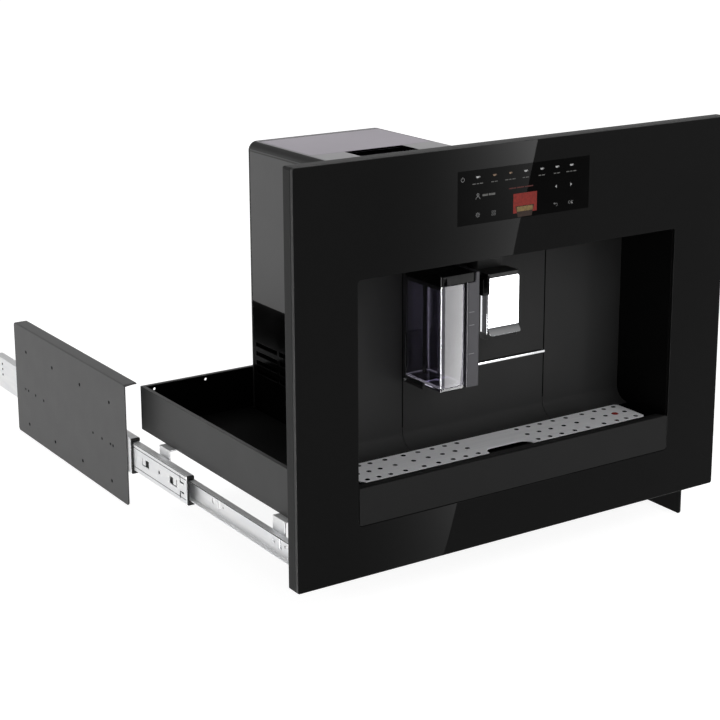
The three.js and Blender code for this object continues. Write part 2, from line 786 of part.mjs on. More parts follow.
function housing() {
  const behindPanel = panelDepth + 0.6;
  const behindBay = bayDepth + bayWall + 0.8;
  const aboveBay = bayTop + bayWall + 2;
  const back = housingBack - rearCoverThickness - seatGap;
  const stepped = (inset, openFoot) =>
    outline([
      [behindPanel + inset, aboveBay + inset],
      [behindPanel + inset, housingTop - inset],
      [openFoot ? back + 1 : back, housingTop - inset],
      [openFoot ? back + 1 : back, openFoot ? coverSplit - 5 : coverSplit],
      [behindBay + inset, openFoot ? coverSplit - 5 : coverSplit],
      [behindBay + inset, aboveBay + inset],
    ]);
  const crown = roundedRectangle(across(housingWidth), [0, housingTop], 0, housingRound);
  const crownInside = roundedRectangle(
    across(housingWidth - 2 * housingWall),
    [0, housingTop - housingWall],
    0,
    housingRound - housingWall,
  );
  const shellOuter = alongX(stepped(0, false), across(housingWidth)).intersect(
    alongY(crown, [0, housingBack]),
  );
  const shellInner = alongX(stepped(housingWall, true), across(housingWidth)).intersect(
    alongY(crownInside, [0, housingBack + 2]),
  );
  let cover = shellOuter.subtract(shellInner);

  // The finger slot is a pocket in front of the lid that runs on under its front edge.
  const slotFront = lidFront - fingerDepth;
  const slotFloor = housingTop - fingerDrop;
  const slotBody = block(
    across(fingerWidth + 8),
    [slotFront - 3, lidFront + 1],
    [slotFloor - 3, housingTop - 1],
  );
  const slotCut = block(across(fingerWidth), [slotFront, lidFront + 4], [slotFloor, housingTop + 1]);
  cover = join(cover, slotBody).subtract(slotCut);
  const lidHole = block(
    across(lidWidth + 2 * lidGap),
    [lidFront - lidGap, lidBack + lidRearGap],
    [slotFloor - 4, housingTop + 1],
  );
  const doorHole = block(
    [housingWidth / 2 - 2 * housingWall, housingWidth],
    [doorFront - lidGap, doorBack + lidGap],
    [doorBottom - lidGap, doorTop + lidGap],
  );
  // Ledges carry the lid's sides, and bosses beside its rear corners hold its hinge pins.
  const ledgeTop = housingTop - housingWall - seatGap;
  const ledges = [-1, 1].map((side) => {
    const span = [side * (lidWidth / 2 - lidLedge), side * (lidWidth / 2 + housingWall)];
    return block(
      span.sort((a, b) => a - b),
      [lidFront - lidGap - housingWall, lidBack - 3 * lidPinInset],
      [ledgeTop - 2, ledgeTop],
    );
  });
  const bossInside = lidWidth / 2 + lidGap;
  const bosses = [-1, 1].map((side) => {
    const span = [side * bossInside, side * (bossInside + lidPinReach + 2)].sort((a, b) => a - b);
    return block(
      span,
      [hingeLine[0] - lidPin - 1, hingeLine[0] + lidPin + 1],
      [hingeLine[1] - lidPin - 1, housingTop - 1],
    );
  });
  const boreEnd = lidWidth / 2 + lidPinReach;
  const bores = [-1, 1].map((side) => {
    const span = [side * (bossInside - 1), side * boreEnd].sort((a, b) => a - b);
    return bar("x", hingeLine, span[0], span[1], lidPin + 2 * seatGap, 12);
  });
  cover = cut(cover, [lidHole, doorHole]);
  const crowned = join(cover, ...ledges, ...bosses).intersect(alongY(crown, [0, housingBack]));
  piece("upper_cover", cut(crowned, bores), 0x5a5a5a, 0.45);

  // The black base housing, with recessed louvres low on both sides and its front open for the bin.
  const baseWidth = housingWidth - 0.6;
  const baseFloor = trayBottom + sheet + seatGap;
  const baseTop = coverSplit - seatGap;
  const base = block(across(baseWidth), [behindBay, back], [baseFloor, baseTop]);
  const baseHollow = block(
    across(baseWidth - 2 * housingWall),
    [behindBay - 1, back + 1],
    [baseFloor + housingWall, baseTop + 1],
  );
  const louvres = [];
  for (const side of [-1, 1]) {
    const sideSpan = [side * (baseWidth / 2 - housingWall - 1), side * (baseWidth / 2 + 1)];
    sideSpan.sort((a, b) => a - b);
    for (const z of spaced(4, louvrePitch, louvreMiddle)) {
      for (const y of louvreStations) {
        const along = [y - louvreLength / 2, y + louvreLength / 2];
        louvres.push(block(sideSpan, along, [z - louvreHeight / 2, z + louvreHeight / 2]));
      }
    }
  }
  // Two runners on the floor carry the grounds bin.
  const runners = spaced(2, binWidth * 0.6).map((x) =>
    block(
      [x - runnerWidth / 2, x + runnerWidth / 2],
      [behindBay, bayDepth + bayWall + seatGap + binLength],
      [baseFloor + housingWall - 0.5, baySill],
    ),
  );
  const baseShell = join(cut(base, [baseHollow, ...louvres]), ...runners);
  piece("base_housing", baseShell, 0x0b0b0b, 0.2);

  // The rear cover closes both, with a vent field and the socket's cut-out.
  const rearSpan = [housingBack - rearCoverThickness, housingBack];
  const rearShape = roundedRectangle(
    across(housingWidth),
    [baseFloor, housingTop],
    0,
    housingRound,
  );
  const vents = [];
  const through = [rearSpan[0] - 1, rearSpan[1] + 1];
  for (const z of spaced(7, ventPitch, ventMiddle)) {
    for (const x of spaced(2, ventWidth * 1.5)) {
      const level = [z - ventHeight / 2, z + ventHeight / 2];
      vents.push(block([x - ventWidth / 2, x + ventWidth / 2], through, level));
    }
  }
  const holeWidth = socketWidth / 2 + seatGap;
  const holeHeight = socketHeight / 2 + seatGap;
  const socketHole = block(
    [socketPlace[0] - holeWidth, socketPlace[0] + holeWidth],
    through,
    [socketPlace[1] - holeHeight, socketPlace[1] + holeHeight],
  );
  const rear = cut(alongY(rearShape, rearSpan), [...vents, socketHole]);
  piece("rear_cover", rear, 0x2a2a2a, 0.5);
  powerInlet(socketPlace, rearSpan);

  housingLid();
  brewDoor();
}

/** The mains socket: a flanged body with a cavity and three contact blades. */
function powerInlet([x, z], [inside, outside]) {
  const halfWidth = socketWidth / 2;
  const halfHeight = socketHeight / 2;
  const flange = alongY(
    roundedRectangle(
      [x - halfWidth - 11, x + halfWidth + 11],
      [z - halfHeight - 4, z + halfHeight + 4],
      4,
    ),
    [outside + seatGap, outside + 2.5],
  );
  const body = block(
    [x - halfWidth, x + halfWidth],
    [inside - 22, outside + 1],
    [z - halfHeight, z + halfHeight],
  );
  const hollow = [halfWidth - 2, halfHeight - 2];
  const keyed = 4; // the plug's two bevelled corners
  const cavityShape = outline([
    [x - hollow[0], z - hollow[1]],
    [x + hollow[0], z - hollow[1]],
    [x + hollow[0], z + hollow[1] - keyed],
    [x + hollow[0] - keyed, z + hollow[1]],
    [x - hollow[0] + keyed, z + hollow[1]],
    [x - hollow[0], z + hollow[1] - keyed],
  ]);
  const cavity = alongY(cavityShape, [inside - 14, outside + 5]);
  const blades = [[x - 7, z - 1], [x, z + 3], [x + 7, z - 1]].map(([bx, bz]) =>
    block([bx - 1, bx + 1], [inside - 15, outside - 2], [bz - 2, bz + 2]),
  );
  const socket = join(join(flange, body).subtract(cavity), ...blades);
  piece("power_inlet", socket, 0x141414, 0.5);
}

function housingLid() {
  const top = block(across(lidWidth), [lidFront, lidBack], [housingTop - housingWall, housingTop]);
  const skirtX = lidWidth / 2 - 4;
  const skirtY = [lidFront + 4, lidBack - lidPinInset - 6];
  const skirtZ = [housingTop - housingWall - lidSkirt + seatGap, housingTop - 1];
  const skirt = block([-skirtX, skirtX], skirtY, skirtZ);
  const skirtHollow = block(
    [-skirtX + 2, skirtX - 2],
    [skirtY[0] + 2, skirtY[1] - 2],
    [skirtZ[0] - 1, housingTop - housingWall],
  );
  // A knuckle under each rear corner carries a pin that turns in the cover's boss.
  const knuckles = [-1, 1].map((side) => {
    const reach = [lidWidth / 2 - knuckleWidth, lidWidth / 2 - seatGap, lidWidth / 2 + lidPinReach - 0.3];
    const [inner, outer, end] = reach.map((value) => side * value);
    const barrel = [inner, outer].sort((a, b) => a - b);
    const pin = [inner, end].sort((a, b) => a - b);
    return join(
      bar("x", hingeLine, barrel[0], barrel[1], 2 * lidPin - 0.4, 14),
      bar("x", hingeLine, pin[0], pin[1], lidPin, 10),
    );
  });
  piece("top_lid", join(skirt.subtract(skirtHollow), top, ...knuckles), 0x8c868e, 0.4);
}

function brewDoor() {
  const outside = housingWidth / 2;
  const panel = block([outside - housingWall, outside], [doorFront, doorBack], [doorBottom, doorTop]);
  const grip = block(
    [outside - 1.6, outside + 1],
    [doorFront + 8, doorFront + 16],
    [doorBottom + 60, doorTop - 60],
  );
  const frameSpan = [outside - housingWall - 5, outside - housingWall + 0.5];
  const rim = block(frameSpan, [doorFront + 5, doorBack - 10], [doorBottom + 5, doorTop - 5]);
  const rimHollow = block(
    [frameSpan[0] - 1, outside - housingWall],
    [doorFront + 7, doorBack - 12],
    [doorBottom + 7, doorTop - 7],
  );
  piece("brew_door", join(panel, rim.subtract(rimHollow)).subtract(grip), 0x5a5a5a, 0.45);
}

// ---------------------------------------------------------------- inside the housing
function insides() {
  // The hopper narrows to its outlet over the grinder; a shelf at the back carries the knob.
  const hopperX = [-lidWidth / 2 + 4, -lidWidth / 2 + 4 + hopperWidth];
  const hopperCentre = [(hopperX[0] + hopperX[1]) / 2, (compartmentFront + compartmentBack) / 2];
  const depth = compartmentBack - compartmentFront;
  const funnel = (inset, extra) => {
    const halfWidth = hopperWidth / 2 - inset;
    const halfDepth = depth / 2 - inset;
    const outlet = hopperOutlet / 2 - inset;
    const levels = [
      [halfWidth, halfDepth, hopperTop + extra],
      [halfWidth, halfDepth, hopperTop - 26],
      [outlet, outlet, hopperFloor + inset - extra],
    ];
    return loft(levels, hopperCentre);
  };
  const knobPlace = [hopperCentre[0], compartmentBack - 18];
  const shelf = block(
    [hopperX[0] + 1, hopperX[1] - 1],
    [compartmentBack - 34, compartmentBack - 1],
    [hopperTop - 22, hopperTop - 18],
  );
  const knobHole = bar("z", knobPlace, hopperTop - 30, hopperTop, 9, 12);
  const outletHole = block(
    [hopperCentre[0] - 14, hopperCentre[0] + 14],
    [hopperCentre[1] - 14, hopperCentre[1] + 14],
    [hopperFloor - 2, hopperFloor + 4],
  );
  const hopper = join(cut(funnel(0, 0), [funnel(2, 1), outletHole]), shelf).subtract(knobHole);
  piece("bean_hopper", hopper, 0x3a332d, 0.15, 0, { transparent: true, opacity: 0.6 });

  const knobBase = hopperTop - 18 + seatGap;
  const knobBody = bar("z", knobPlace, knobBase, knobBase + knobHeight, knobDiameter, 16);
  const stem = bar("z", knobPlace, hopperTop - 26, knobBase + 1, 7.8, 12);
  const pointer = block(
    [knobPlace[0] - 1.2, knobPlace[0] + 1.2],
    [knobPlace[1] - knobDiameter / 2 - 1.5, knobPlace[1]],
    [knobBase + 2, knobBase + knobHeight + 1],
  );
  piece("grind_knob", join(knobBody, stem, pointer), 0x202020, 0.4);

  const grinderTop = hopperFloor - seatGap;
  const housingBody = bar(
    "z",
    hopperCentre,
    grinderTop - grinderHeight,
    grinderTop,
    grinderDiameter,
    24,
  );
  const throat = bar("z", hopperCentre, grinderTop - 20, grinderTop + 1, 26, 16);
  const burr = solid(
    new THREE.CylinderGeometry(4, 12, 16, 12)
      .rotateX(Math.PI / 2)
      .translate(hopperCentre[0], hopperCentre[1], grinderTop - 13),
  );
  const motorTop = grinderTop - grinderHeight + 1;
  const motor = bar("z", hopperCentre, shelfTop + seatGap, motorTop, grinderDiameter - 20, 20);
  piece("grinder", join(housingBody.subtract(throat), burr, motor), 0x9a9a9a, 0.5, 0.6);

  // The water tank stands beside the hopper and lifts out through the lid.
  const tankX = [lidWidth / 2 - 4 - tankWidth, lidWidth / 2 - 4];
  const tankY = [compartmentFront, compartmentBack];
  const tankOuter = alongZ(roundedRectangle(tankX, tankY, 8), [tankBottom, hopperTop]);
  const tankHollow = alongZ(
    roundedRectangle(
      [tankX[0] + tankWall, tankX[1] - tankWall],
      [tankY[0] + tankWall, tankY[1] - tankWall],
      6,
    ),
    [tankBottom + tankWall, hopperTop + 1],
  );
  const handle = block(
    [(tankX[0] + tankX[1]) / 2 - 7, (tankX[0] + tankX[1]) / 2 + 7],
    [tankY[0] + 1, tankY[1] - 1],
    [hopperTop - 6, hopperTop - 2],
  );
  const tankShell = join(tankOuter.subtract(tankHollow), handle);
  piece("water_tank", tankShell, 0x6d7074, 0.1, 0, { transparent: true, opacity: 0.5 });

  // The brew unit stands behind its door: a chamber between two end plates, with a dump chute.
  const brewX = [housingWidth / 2 - housingWall - 6 - brewWidth, housingWidth / 2 - housingWall - 6];
  const brewCentre = [(doorFront + doorBack) / 2, (doorBottom + doorTop) / 2];
  const chamber = bar("x", brewCentre, brewX[0], brewX[1], brewDiameter, 24);
  const brewHalf = brewCentre[1] - shelfTop - seatGap;
  const plates = [brewX[0], brewX[1] - 8].map((x) =>
    alongX(
      roundedRectangle(
        [brewCentre[0] - brewLength / 2, brewCentre[0] + brewLength / 2],
        [brewCentre[1] - brewHalf, brewCentre[1] + brewHalf],
        10,
      ),
      [x, x + 8],
    ),
  );
  const piston = bar("x", [brewCentre[0], brewCentre[1] + 52], brewX[0] + 2, brewX[1] - 2, 22, 16);
  const chute = alongX(
    outline([
      [brewCentre[0] - 30, brewCentre[1] - 68],
      [brewCentre[0] + 30, brewCentre[1] - 68],
      [brewCentre[0] + 18, brewCentre[1] - 25],
      [brewCentre[0] - 18, brewCentre[1] - 25],
    ]),
    [brewX[0] + 4, brewX[1] - 4],
  );
  piece("brew_unit", join(chamber, ...plates, piston, chute), 0x3c3c3e, 0.5);

  const boilerCentre = [42, trayBottom + sheet + housingWall + 8 + boilerDiameter / 2];
  const boiler = join(
    bar("y", boilerCentre, boilerStart, boilerStart + boilerLength, boilerDiameter, 24),
    bar("y", boilerCentre, boilerStart - 10, boilerStart + boilerLength + 10, 16, 12),
    block(
      [boilerCentre[0] - 30, boilerCentre[0] + 30],
      [boilerStart + 20, boilerStart + boilerLength - 20],
      [trayBottom + sheet + housingWall + 2 * seatGap, boilerCentre[1]],
    ),
  );
  piece("boiler", boiler, 0xa7a9ac, 0.4, 0.9);

  const pumpCentre = [-52, trayBottom + sheet + housingWall + 14 + pumpDiameter / 2];
  const pump = join(
    bar("y", pumpCentre, boilerStart, boilerStart + pumpLength, pumpDiameter, 20),
    bar("y", pumpCentre, boilerStart - 22, boilerStart + pumpLength + 16, 12, 12),
    block(
      [pumpCentre[0] - 20, pumpCentre[0] + 20],
      [boilerStart + 30, boilerStart + 50],
      [trayBottom + sheet + housingWall + 2 * seatGap, pumpCentre[1]],
    ),
  );
  piece("pump", pump, 0x55585c, 0.5, 0.4);

  innerFrame(brewX, brewCentre[0]);
}

/** A folded sheet-metal shelf on four legs: it carries the tank, the grinder and the brew unit. */
function innerFrame(brewX, brewMiddle) {
  const halfWidth = brewX[1];
  const front = brewMiddle - brewLength / 2 - 6;
  const shelf = block([-halfWidth, halfWidth], [front, lidBack], [shelfTop - frameSheet, shelfTop]);
  const foot = trayBottom + sheet + housingWall + 2 * seatGap;
  const legs = [-1, 1].flatMap((side) =>
    frameLegs.flatMap((y) => {
      const outside = side * halfWidth;
      const upright = [outside, outside - side * frameSheet].sort((a, b) => a - b);
      const toe = [outside, outside - side * frameLegWidth].sort((a, b) => a - b);
      return [
        block(upright, [y, y + frameLegWidth], [foot, shelfTop - 1]),
        block(toe, [y, y + frameLegWidth], [foot, foot + frameSheet]),
      ];
    }),
  );
  const dumpHole = block(
    [brewX[0] + 14, brewX[1] - 14],
    [front + 20, bayDepth + bayWall + binLength],
    [shelfTop - 2 * frameSheet, shelfTop + 1],
  );
  piece("inner_frame", join(shelf, ...legs).subtract(dumpHole), 0x9da0a3, 0.4, 0.8);
}

/** A closed square loft through levels of [half width, half depth, height], round a centre. */
function loft(levels, [cx, cy]) {
  const positions = [];
  const corners = [[-1, -1], [1, -1], [1, 1], [-1, 1]];
  const point = ([hx, hy, z], [sx, sy]) => [cx + sx * hx, cy + sy * hy, z];
  const quad = (a, b, c, d) => positions.push(...a, ...b, ...c, ...a, ...c, ...d);
  for (let level = 0; level < levels.length - 1; level++) {
    for (let side = 0; side < 4; side++) {
      const here = corners[side];
      const next = corners[(side + 1) % 4];
      quad(
        point(levels[level + 1], here),
        point(levels[level + 1], next),
        point(levels[level], next),
        point(levels[level], here),
      );
    }
  }
  const top = corners.map((corner) => point(levels[0], corner));
  const bottom = corners.map((corner) => point(levels.at(-1), corner)).reverse();
  quad(...top);
  quad(...bottom);
  const geometry = new THREE.BufferGeometry();
  geometry.setAttribute("position", new THREE.Float32BufferAttribute(positions, 3));
  return solid(geometry);
}

// ---------------------------------------------------------------- base tray
function baseTray() {
  const top = trayBottom + trayHeight;
  const front = panelDepth + seatGap;
  const outside = block(across(trayWidth), [front, trayBack], [trayBottom, top]);
  const inside = block(
    across(trayWidth - 2 * sheet),
    [front + sheet, trayBack - sheet],
    [trayBottom + sheet, top + 1],
  );
  let tray = outside.subtract(inside);
  // The walls' upper edges are folded inwards.
  const hemRing = block(
    across(trayWidth - sheet),
    [front + sheet / 2, trayBack - sheet / 2],
    [top - sheet, top],
  ).subtract(
    block(
      across(trayWidth - 2 * sheet - 2 * trayHem),
      [front - 1, trayBack - sheet - trayHem],
      [top - 2 * sheet, top + 1],
    ),
  );
  tray = join(tray, hemRing);
  const throat = bayWall + 1;
  const bayCut = block(
    across(bayWidth + 2 * throat),
    [front - 1, front + sheet + 1],
    [baySill - throat, top + 1],
  );
  const cuts = [bayCut];
  const lineOfHoles = [-trayWidth / 2 + trayHoleInset, trayWidth / 2 - trayHoleInset];
  for (const x of [...lineOfHoles, ...spaced(3, trayHolePitch)]) {
    const place = [x, top - trayHoleDrop];
    cuts.push(bar("y", place, trayBack - 2 * sheet, trayBack + 1, trayHole, 8));
  }
  piece("base_tray", cut(tray, cuts), sheetBlack, 0.45);
}

// ---------------------------------------------------------------- telescopic ball slides
/** Places a slide's section: u from the cabinet side towards the machine, v from the centre line. */
function slidePoint(side, u, v) {
  const cabinetFace = cabinetWidth / 2 - sheet - seatGap;
  return [side * (cabinetFace - u), slideHeight + v];
}

/** A slide member: its section, given for the upper half and mirrored, pushed along Y. */
function member(side, upperHalf, [y0, y1]) {
  const mirrored = [...upperHalf].reverse().map(([u, v]) => [u, -v]);
  const points = [...upperHalf, ...mirrored].map(([u, v]) => slidePoint(side, u, v));
  return alongY(outline(points), [y0, y1]);
}

/** A hole straight through a slide's web. */
function webHole(side, y, v, diameter, sides = 8) {
  const [x, z] = slidePoint(side, slideThickness / 2, v);
  return bar("x", [y, z], x - slideThickness, x + slideThickness, diameter, sides);
}

/** A slot through a slide's web: along Y by length, along Z by height. */
function webSlot(side, y, v, length, height) {
  const [x, z] = slidePoint(side, slideThickness / 2, v);
  return block(
    [x - slideThickness, x + slideThickness],
    [y - length / 2, y + length / 2],
    [z - height / 2, z + height / 2],
  );
}

const middleWeb = 2.4;
const middleReach = 11.2;
const innerReach = 5.2;

function innerRail(side, name) {
  const half = innerHeight / 2;
  const section = [
    [slideThickness, half],
    [innerReach, half],
    [innerReach, half - gauge],
    [slideThickness - gauge, half - gauge],
  ];
  const rail = member(side, section, [slideStart, slideStart + slideLength]);
  const holes = [];
  for (const y of innerRailSlots) {
    holes.push(webHole(side, y - 10, 1, 4), webHole(side, y + 14, 1, screwHole));
    holes.push(webSlot(side, y, 1, screwSlot[0], screwSlot[1]));
  }
  piece(`${name}_inner_rail`, cut(rail, holes), galvanised, 0.3, 1);
}

function middleRail(side, name, drawn) {
  const half = middleHeight / 2;
  const start = slideStart + memberStep + drawn;
  const section = [
    [middleWeb, half],
    [middleReach, half],
    [middleReach, half - raceLip],
    [middleReach - gauge, half - raceLip],
    [middleReach - gauge, half - gauge],
    [middleWeb + gauge, half - gauge],
  ];
  const rail = member(side, section, [start, start + middleLength]);
  const cuts = [];
  const halfwayDown = (middleTabs[0] + middleTabs[1]) / 2;
  for (const end of [start, start + middleLength - middleTabs[0] - middleTabs[1]]) {
    for (const tab of middleTabs) {
      const away = Math.sign(tab - halfwayDown);
      cuts.push(webSlot(side, end + tab, 0.5, tabHole, tabHole));
      cuts.push(webSlot(side, end + tab + away * (tabHole / 2 + 5), 1 - tabHole / 2, 10, 1.4));
      cuts.push(webSlot(side, end + tab + away * (tabHole / 2 + 9), 1, 1.4, tabHole));
    }
    cuts.push(webHole(side, end + halfwayDown, 0.5, 5));
  }
  // The web's front end is pressed into two hooks that hold the stop.
  for (const level of [-1, 1]) {
    cuts.push(webSlot(side, start + 17, level * 10, 2.5, 9));
    cuts.push(webSlot(side, start + 12, level * 6.2, 10, 2));
  }
  piece(`${name}_middle_rail`, cut(rail, cuts), galvanised, 0.3, 1);

  // The moulded end stop: a cap in front of the rail, and a tongue inside its lips.
  const stopFoot = innerHeight / 2 + 0.6;
  const stopHalf = half - gauge - 0.4;
  const capSection = [
    [middleWeb, half],
    [middleReach, half],
    [middleReach, stopFoot],
    [middleWeb + 1.8, stopFoot],
  ];
  const tongueSection = [
    [middleWeb + gauge + 0.4, stopHalf],
    [middleReach - gauge - 0.4, stopHalf],
    [middleReach - gauge - 0.4, stopFoot],
    [middleWeb + gauge + 1.1, stopFoot],
  ];
  const stop = join(
    member(side, capSection, [start - seatGap - stopCap, start - seatGap]),
    member(side, tongueSection, [start - 1, start + stopTongue + 3]),
  );
  piece(`${name}_middle_stop`, stop, 0x111111, 0.6);
}

function outerRail(side, name, drawn) {
  const half = outerHeight / 2;
  const start = slideStart + 2 * memberStep + 2 + drawn;
  const reach = slideThickness - 0.7;
  const section = [
    [0, half],
    [reach, half],
    [reach, half - raceLip],
    [reach - gauge, half - raceLip],
    [reach - gauge, half - gauge],
    [gauge, half - gauge],
  ];
  const rail = member(side, section, [start, start + slideLength]);
  const cuts = [];
  const end = start + slideLength;
  for (const [y, v, size] of [[end - 6, 8, 4], [end - 6, 0, 5], [end - 6, -8, 4]]) {
    cuts.push(webHole(side, y, v, size));
  }
  for (const y of outerRailHoles) {
    cuts.push(webHole(side, start + y, 0, 5));
  }
  piece(`${name}_outer_rail`, cut(rail, cuts), galvanised, 0.3, 1);

  const stopFoot = middleHeight / 2 + 0.6;
  const stopHalf = half - gauge - 0.4;
  const capSection = [
    [0, half],
    [reach, half],
    [reach, stopFoot],
    [1.8, stopFoot],
  ];
  const cap = member(side, capSection, [start - seatGap - stopCap, start - seatGap]);
  const tongues = [-1, 1].map((level) => {
    const [xOut] = slidePoint(side, gauge + 0.5, 0);
    const [xIn] = slidePoint(side, reach - gauge - 0.5, 0);
    return block(
      [Math.min(xOut, xIn), Math.max(xOut, xIn)],
      [start - 1, start + stopTongue],
      [slideHeight + level * stopFoot, slideHeight + level * stopHalf].sort((a, b) => a - b),
    );
  });
  piece(`${name}_outer_stop`, join(cap, ...tongues), 0x111111, 0.6);
}

/** A ball cage: a thin channel with a row of balls along each flange. */
function ballCage(side, name, [y0, y1], web, ballAt, ballLevel) {
  const strip = cageStrip / 2;
  const section = [
    [web, ballLevel + strip],
    [ballAt + 2, ballLevel + strip],
    [ballAt + 2, ballLevel - strip],
    [web + cageStrip, ballLevel - strip],
  ];
  let cage = member(side, section, [y0, y1]);
  const count = Math.floor((y1 - y0 - 10) / ballPitch) + 1;
  for (const y of spaced(count, ballPitch, (y0 + y1) / 2)) {
    for (const level of [-ballLevel, ballLevel]) {
      const [x, z] = slidePoint(side, ballAt, level);
      const ball = new THREE.IcosahedronGeometry(ballDiameter / 2, 0);
      cage = cage.add(solid(ball.translate(x, y, z)));
    }
  }
  piece(name, cage, 0xc9ccd0, 0.25, 1);
}

function cages(side, name, middleDrawn, outerDrawn) {
  // A cage rolls half as far as the member that it carries.
  const innerStart = slideStart + innerCageStart + middleDrawn / 2;
  const innerLevel = (innerHeight / 2 + middleHeight / 2 - gauge) / 2;
  ballCage(
    side,
    `${name}_inner_ball_cage`,
    [innerStart, innerStart + innerCageLength],
    middleWeb + gauge + 0.35,
    innerBallInset,
    innerLevel,
  );
  const outerStart = slideStart + outerCageStart + middleDrawn + outerDrawn / 2;
  const outerLevel = (middleHeight / 2 + outerHeight / 2 - gauge) / 2;
  ballCage(
    side,
    `${name}_outer_ball_cage`,
    [outerStart, outerStart + outerCageLength],
    gauge + 0.2,
    outerBallInset,
    outerLevel,
  );
}

/** The folded plate that is screwed to the cabinet's side and carries the outer rail. */
function cabinetPlate(side, name, drawn) {
  const outside = (side * cabinetWidth) / 2;
  const start = slideStart + 2 * memberStep + plateSetback + drawn;
  const top = plateBottom + plateHeight;
  const inward = -side;
  const section = outline([
    [outside, plateBottom],
    [outside + inward * sheet, plateBottom],
    [outside + inward * sheet, top - sheet],
    [outside + inward * plateFlange, top - sheet],
    [outside + inward * plateFlange, top],
    [outside + inward * 1.5, top],
    [outside, top - 1.5],
  ]);
  const faceShape = roundedRectangle([start, start + plateLength], [plateBottom, top], plateCorner);
  const flangeTip = Math.min(outside, outside + inward * plateFlange);
  const planShape = roundedRectangle(
    [flangeTip, flangeTip + plateFlange],
    [start, start + plateLength],
    0,
  );
  const plate = alongY(section, [start, start + plateLength])
    .intersect(alongX(faceShape, across(cabinetWidth + 2)))
    .intersect(alongZ(planShape, [plateBottom - 1, top + 1]));
  const holes = [];
  const screw = (y, z, diameter) =>
    bar("x", [y, z], outside - 2 * sheet, outside + 2 * sheet, diameter, 8);
  const upperRow = slideHeight + plateHoleRise;
  for (const z of [upperRow, upperRow - plateHoleRows]) {
    for (const y of spaced(4, plateHolePitch, start + plateLength / 2 + plateHoleShift)) {
      holes.push(screw(y, z, plateHole));
    }
  }
  for (const y of plateRivets) {
    holes.push(screw(start + y, slideHeight, plateHole - 1));
  }
  piece(`${name}_cabinet_plate`, cut(plate, holes), 0x5f5f5f, 0.45);
}

/** A galvanised angle under the tray, riveted to the inner rail. */
function brackets(side, name) {
  const railFace = slidePoint(side, slideThickness, 0)[0];
  const legOutside = railFace - side * seatGap;
  const under = trayBottom - seatGap;
  const foot = slideHeight - innerHeight / 2 + 2;
  bracketStations.forEach((y, index) => {
    const legInside = legOutside - side * bracketGauge;
    const leg = [legOutside, legInside].sort((a, b) => a - b);
    const arm = [legOutside, legOutside - side * bracketFoot].sort((a, b) => a - b);
    const span = [y, y + bracketWidth];
    const body = join(
      block(leg, span, [foot, under]),
      block(arm, span, [under - bracketGauge, under]),
    );
    const rib = alongY(
      outline([
        [legInside, under - bracketGauge - 8],
        [legInside, under - 1],
        [legInside - side * 10, under - 1],
        [legInside - side * 10, under - bracketGauge],
      ]),
      [y + bracketWidth / 2 - 1, y + bracketWidth / 2 + 1],
    );
    const place = index === 0 ? "front" : "rear";
    piece(`${name}_${place}_bracket`, join(body, rib), galvanised, 0.35, 1);
  });
}

function slide(side, name, middleDrawn, outerDrawn) {
  innerRail(side, name);
  middleRail(side, name, middleDrawn);
  outerRail(side, name, middleDrawn + outerDrawn);
  cages(side, name, middleDrawn, outerDrawn);
  cabinetPlate(side, name, middleDrawn + outerDrawn);
  brackets(side, name);
}

// ---------------------------------------------------------------- assembly
frontPanel();
dispensingBay();
dripTray();
dripGrid();
milkContainer();
spout();
housing();
insides();
baseTray();
slide(-1, "left", leftMiddleDrawn, leftOuterDrawn);
slide(1, "right", 0, 0);

// The origin lies midway between the two slides, on their centre line, where the cabinet's front
// edges meet the panel's rear face.
assembly.position.set(0, -panelDepth, -slideHeight);

export default assembly;
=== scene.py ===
# %% [markdown]
# # A built-in coffee machine
# The machine stands as it does before it goes into its cabinet: front panel with a glass face, a bay for
# cups, a housing behind, a sheet-metal tray under it, and two telescopic slides with their cabinet plates.
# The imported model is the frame. Nothing in it is moved: each piece below takes its place and size from it,
# so that what Blender shows and what MuJoCo moves stay one machine.

import json
import math

import bmesh
import bpy
from mathutils import Matrix, Vector


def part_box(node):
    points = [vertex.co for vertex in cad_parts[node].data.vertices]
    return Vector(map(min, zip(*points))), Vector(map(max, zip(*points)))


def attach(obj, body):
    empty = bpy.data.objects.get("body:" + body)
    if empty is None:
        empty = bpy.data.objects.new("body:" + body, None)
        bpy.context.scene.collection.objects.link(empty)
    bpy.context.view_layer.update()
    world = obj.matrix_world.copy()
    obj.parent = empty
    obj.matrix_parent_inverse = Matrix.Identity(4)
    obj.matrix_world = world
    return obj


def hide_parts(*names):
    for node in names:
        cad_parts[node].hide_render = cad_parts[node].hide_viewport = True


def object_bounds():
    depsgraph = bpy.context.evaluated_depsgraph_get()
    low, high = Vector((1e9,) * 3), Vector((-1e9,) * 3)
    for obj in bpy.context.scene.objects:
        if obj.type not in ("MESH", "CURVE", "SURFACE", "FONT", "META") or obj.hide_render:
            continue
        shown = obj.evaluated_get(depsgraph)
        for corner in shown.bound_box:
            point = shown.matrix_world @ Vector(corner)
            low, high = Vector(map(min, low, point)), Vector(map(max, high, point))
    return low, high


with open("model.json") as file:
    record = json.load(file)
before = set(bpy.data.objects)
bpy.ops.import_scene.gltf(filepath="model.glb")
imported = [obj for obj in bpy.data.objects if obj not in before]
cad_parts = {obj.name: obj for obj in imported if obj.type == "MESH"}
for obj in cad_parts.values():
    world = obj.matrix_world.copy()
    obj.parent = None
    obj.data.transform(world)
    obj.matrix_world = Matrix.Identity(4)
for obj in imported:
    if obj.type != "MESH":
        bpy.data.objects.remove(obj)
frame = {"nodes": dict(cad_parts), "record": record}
cad_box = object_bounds()
record = frame["record"]
body_of = {node: body for body, nodes in record["behaviour"]["bodies"].items() for node in nodes}

